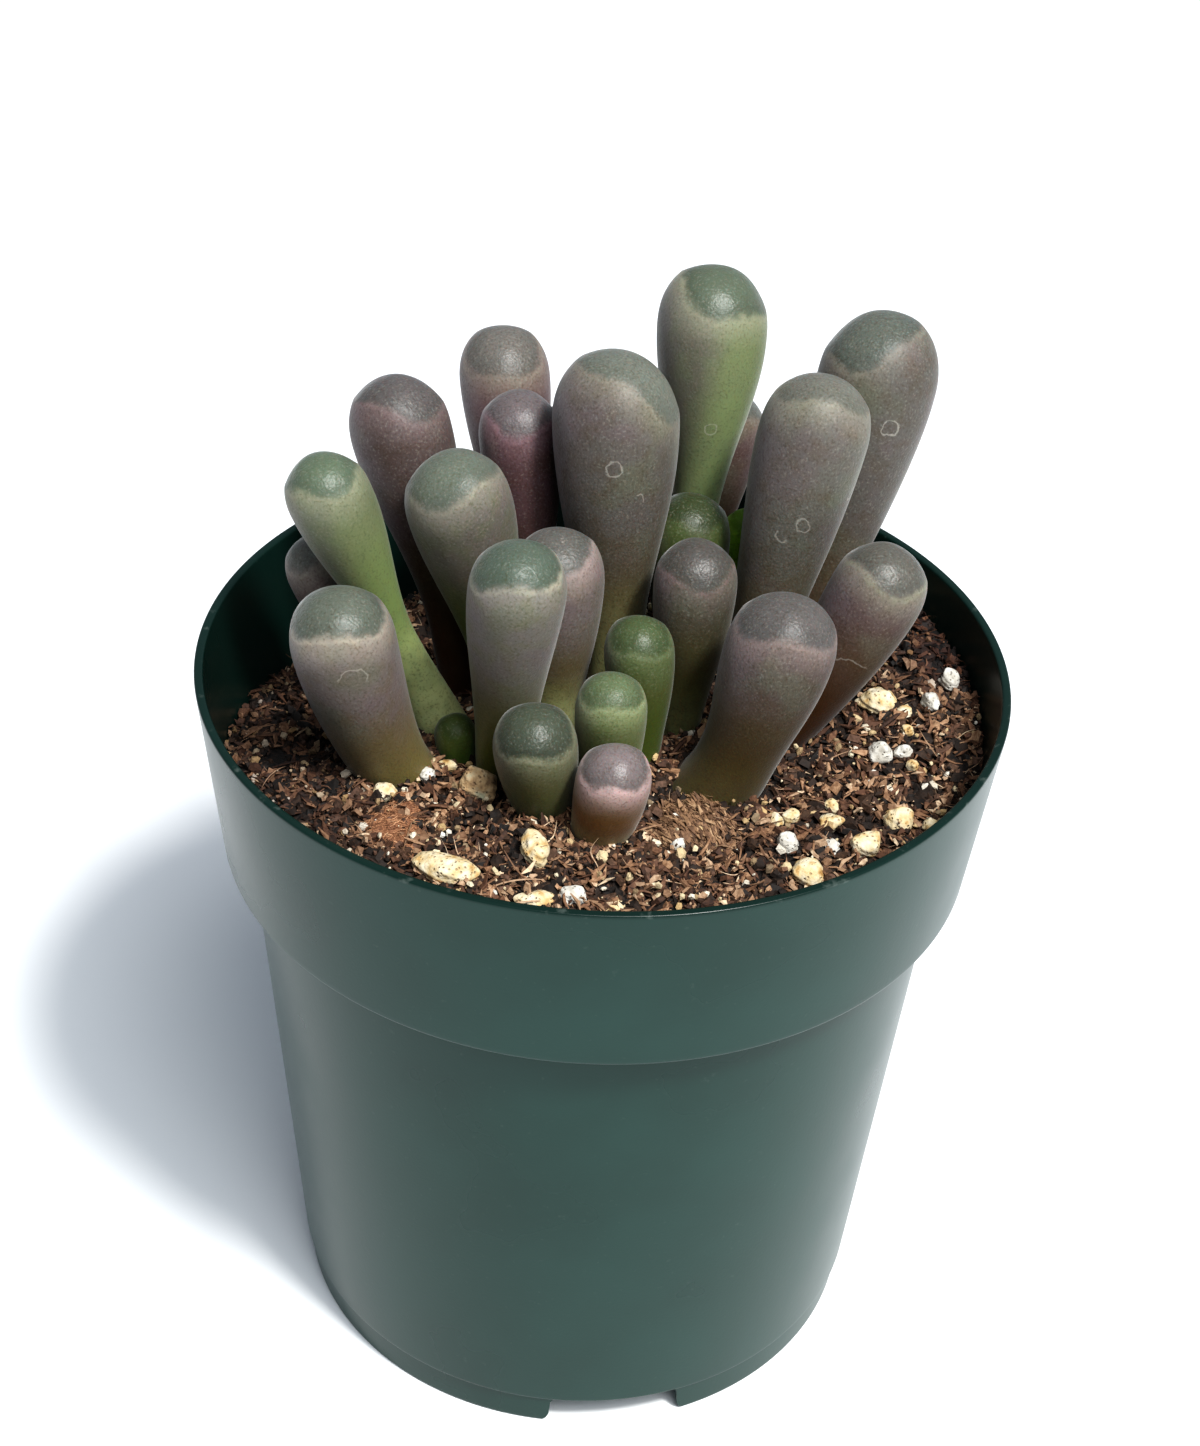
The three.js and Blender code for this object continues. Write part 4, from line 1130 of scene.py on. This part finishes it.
def leaf_skin(name, tints, length, scars):
    """Waxy leaf skin: matt and softly translucent, grey from its bloom, with fine dark specks
    and a pale sheen where it turns away. The window is darker and clearer, and the rim round it
    is a thin pale line that fades down the club. Scars show as thin pale rings."""
    *_, climb, _, bloom, foot, _, rimmed = tints
    low, middle, club, clear, rim = leaf_colours(tints)
    made, tree, shader = new_material(name)
    place = in_millimetres(tree)
    rise, to_rim, flank = (
        (add(tree, "ShaderNodeAttribute", {"attribute_name": label}), "Fac")
        for label in ("rise", "to_rim", "flank")
    )
    drift, mottle = noise(tree, place, 0.13, 2), noise(tree, place, 0.45, 4)
    wander, grain = noise(tree, place, 0.8, 5), noise(tree, place, 3.6, 5)
    smooth = {"interpolation_type": "SMOOTHSTEP"}
    turning = ranged(tree, flank, -0.6, 0.4, 0, climb * length * 0.45, **smooth)
    height = math_node(tree, "SUBTRACT", rise, turning)
    waver = ranged(tree, wander, 0.3, 0.7, -0.22, 0.22, **smooth)
    edge = math_node(tree, "ADD", to_rim, waver)
    crisp = min(rimmed, 1) ** 3
    spans = {
        "grown": (height, length * (0.5 - 0.4 * bloom), length * (0.95 - 0.35 * bloom), 0, 1),
        # Painted light: the pale foot is partly the stalk's own colour and partly lightens feet that lie
        # in shade.
        "foot": (rise, 5, length * 0.5, foot * 0.8, 0),
        # The left flank is lightened, partly for its grey-mauve colour and partly as painted light.
        "left flank colour and painted light": (flank, -0.3, -0.95, 0, 0.55),
        "greener": (drift, 0.52, 0.68, 0, 0.45),
        "mauver": (drift, 0.48, 0.32, 0, 0.45),
        "mottled": (mottle, 0.4, 0.75, 0, 0.4),
        "dark grain": (grain, 0.5, 0.72, 0, 0.45),
        "pale grain": (grain, 0.46, 0.28, 0, 0.18),
        "near the rim": (edge, -4.2, 0.2, 0, 1),
        "outside": (edge, -0.2, 1.2, 0.45 * min(rimmed, 1.6 - rimmed), 0),
        "on the rim": (edge, -0.8, -0.15, 0, 1),
        "past it": (edge, -0.15, 0.5, 1, 0),
        "faded": (mottle, 0.4, 0.65, 0.15 * crisp, 0.55 * crisp),
        "window's edge": (edge, -0.5, 0.9, 0, 1),
        "window": (edge, 0.6, 3.4, 0, 1),
        "wrinkled": (edge, -0.4, 1.5, 0.5, 5),
        "gloss": (edge, -0.5, 2.5, 0.5, 0.5 - 0.13 * min(1, 2 * rimmed)),
    }
    spans |= scar_spans(tree, place, waver, scars)
    share = {label: ranged(tree, *span, **smooth) for label, span in spans.items()}
    products = {
        "glow": ("near the rim", "outside"),
        "line": ("on the rim", "past it", "faded"),
        "left flank colour and painted light": ("left flank colour and painted light", "grown"),
        "greener": ("greener", "grown"),
        "mauver": ("mauver", "grown"),
        "pale grain": ("pale grain", "grown"),
    }
    for k in range(len(scars)):
        products[f"scar {k}"] = (f"scar {k} inside", f"scar {k} outside", f"scar {k} kept")
    for label, factors in products.items():
        share[label] = share[factors[0]]
        for other in factors[1:]:
            share[label] = math_node(tree, "MULTIPLY", share[label], share[other])
    flesh = ramped(tree, share["grown"], [(0, low), (0.5, middle), (1, club)])
    layers = [("greener", blend(club, "#5f6a4c", 0.6)), ("mauver", blend(club, "#66505a", 0.5))]
    # The left flank's and the foot's layers are partly painted light.
    layers += [("left flank colour and painted light", blend(club, "#82757c", 0.7)), ("foot", "#bcc28a")]
    layers += [("mottled", blend(low, club, 0.5)), ("glow", rim), ("line", rim)]
    layers += [("window's edge", blend(clear, "#20241f", 0.12)), ("window", clear)]
    layers += [("dark grain", blend(low, "#2c2923", 0.6)), ("pale grain", "#a9a698")]
    layers += [(f"scar {k}", "#c5c0b4") for k in range(len(scars))]
    for label, tint in layers:
        flesh = layered(tree, share[label], flesh, colour(tint))
    wrinkles = math_node(tree, "MULTIPLY_ADD", mottle, share["wrinkled"], grain)
    surface = {
        "Base Color": flesh,
        "Roughness": share["gloss"],
        "Normal": bumped(tree, wrinkles, 0.38, 0.00012),
        "Subsurface Weight": 0.2,
        "Subsurface Scale": 0.0012,
        "IOR": 1.42,
        "Specular IOR Level": 0.4,
        "Sheen Weight": 0.18,
        "Sheen Roughness": 0.35,
    }
    add(tree, shader, links=surface)
    return made


for seed, (row, tints) in enumerate(zip(LEAVES, TINTS), 1):
    number = f"{seed:02d}"
    blade, length = leaf_mesh(f"leaf_{number}_skin", row, seed)
    scars = [scar[1:] for scar in SCARS if scar[0] == seed]
    skin = leaf_skin(f"waxy_leaf_skin_{number}", tints, length, scars)
    finished(blade, skin, "leaf", f"leaf_{number}")

# Table, light and camera: a plain white table in a pale room, with two soft window lights
# from the front right, and the camera where the photograph was taken from.


def white_table():
    """Matt white board, with a barely visible grain."""
    made, tree, shader = new_material("matt_white_board")
    grain = noise(tree, in_millimetres(tree), 0.02, 3)
    tone = ramped(tree, grain, [(0.3, "#f0f1f3"), (0.7, "#f3f4f5")])
    add(tree, shader, links={"Base Color": tone, "Roughness": 0.8})
    return made


HALF_TABLE = 1500
TABLE_LEVEL = -0.05
signs = ((-1, -1), (1, -1), (1, 1), (-1, 1))
corners = [(HALF_TABLE * x, HALF_TABLE * y, TABLE_LEVEL) for x, y in signs]
table = mesh_piece("table_top", corners, [(0, 1, 2, 3)])
table.data.materials.append(white_table())

sky = bpy.data.worlds.new("pale_room")
sky.use_nodes = True
sky.node_tree.nodes["Background"].inputs["Color"].default_value = (0.78, 0.88, 1, 1)
sky.node_tree.nodes["Background"].inputs["Strength"].default_value = 0.32
bpy.context.scene.world = sky

# The lamps' distance, aim and widths are in metres.
LAMP_DISTANCE = 1.6
LAMP_AIM = Vector((0, 0, 0.09))


def lamp(name, azimuth, height, width, power, tint):
    """A soft round light aimed at the plant, placed by azimuth and height in degrees."""
    light = bpy.data.lights.new(name, "AREA")
    light.shape, light.size, light.energy, light.color = "DISK", width, power, tint
    made = bpy.data.objects.new(name, light)
    a, e = math.radians(azimuth), math.radians(height)
    way = Vector((math.cos(a) * math.cos(e), math.sin(a) * math.cos(e), math.sin(e)))
    made.location = LAMP_AIM + way * LAMP_DISTANCE
    made.rotation_euler = way.to_track_quat("Z", "Y").to_euler()
    bpy.context.scene.collection.objects.link(made)


lamp("window_light", -51, 58, 0.24, 24, (1, 0.985, 0.95))
lamp("wide_window", -60, 55, 1.1, 21, (0.95, 0.98, 1))

# Where the photograph was taken from, the way it looks and which way is right in it, and its
# focal length in pixels, all fitted to the outline of the pot.
EYE = Vector((0, -228.19, 239.7)) * 0.001
AHEAD = Vector((-0.00023, 0.81544, -0.57884)).normalized()
ROLL_RIGHT = Vector((0.9986, 0.03078, 0.04296))
FOCAL_PIXELS = 2506.56
PHOTO_HEIGHT_PIXELS = 1446
SENSOR = 36
camera = bpy.data.cameras.new("camera")
camera.sensor_width = SENSOR
camera.lens = FOCAL_PIXELS * SENSOR / PHOTO_HEIGHT_PIXELS
camera.clip_start, camera.clip_end = 0.01, 20
eye = bpy.data.objects.new("camera", camera)
bpy.context.scene.collection.objects.link(eye)
up = ROLL_RIGHT.cross(AHEAD).normalized()
right = AHEAD.cross(up)
eye.matrix_world = Matrix.Translation(EYE) @ Matrix((right, up, -AHEAD)).transposed().to_4x4()
bpy.context.scene.camera = eye
bpy.context.scene.view_settings.view_transform = "Standard"
bpy.context.scene.view_settings.look = "Medium High Contrast"
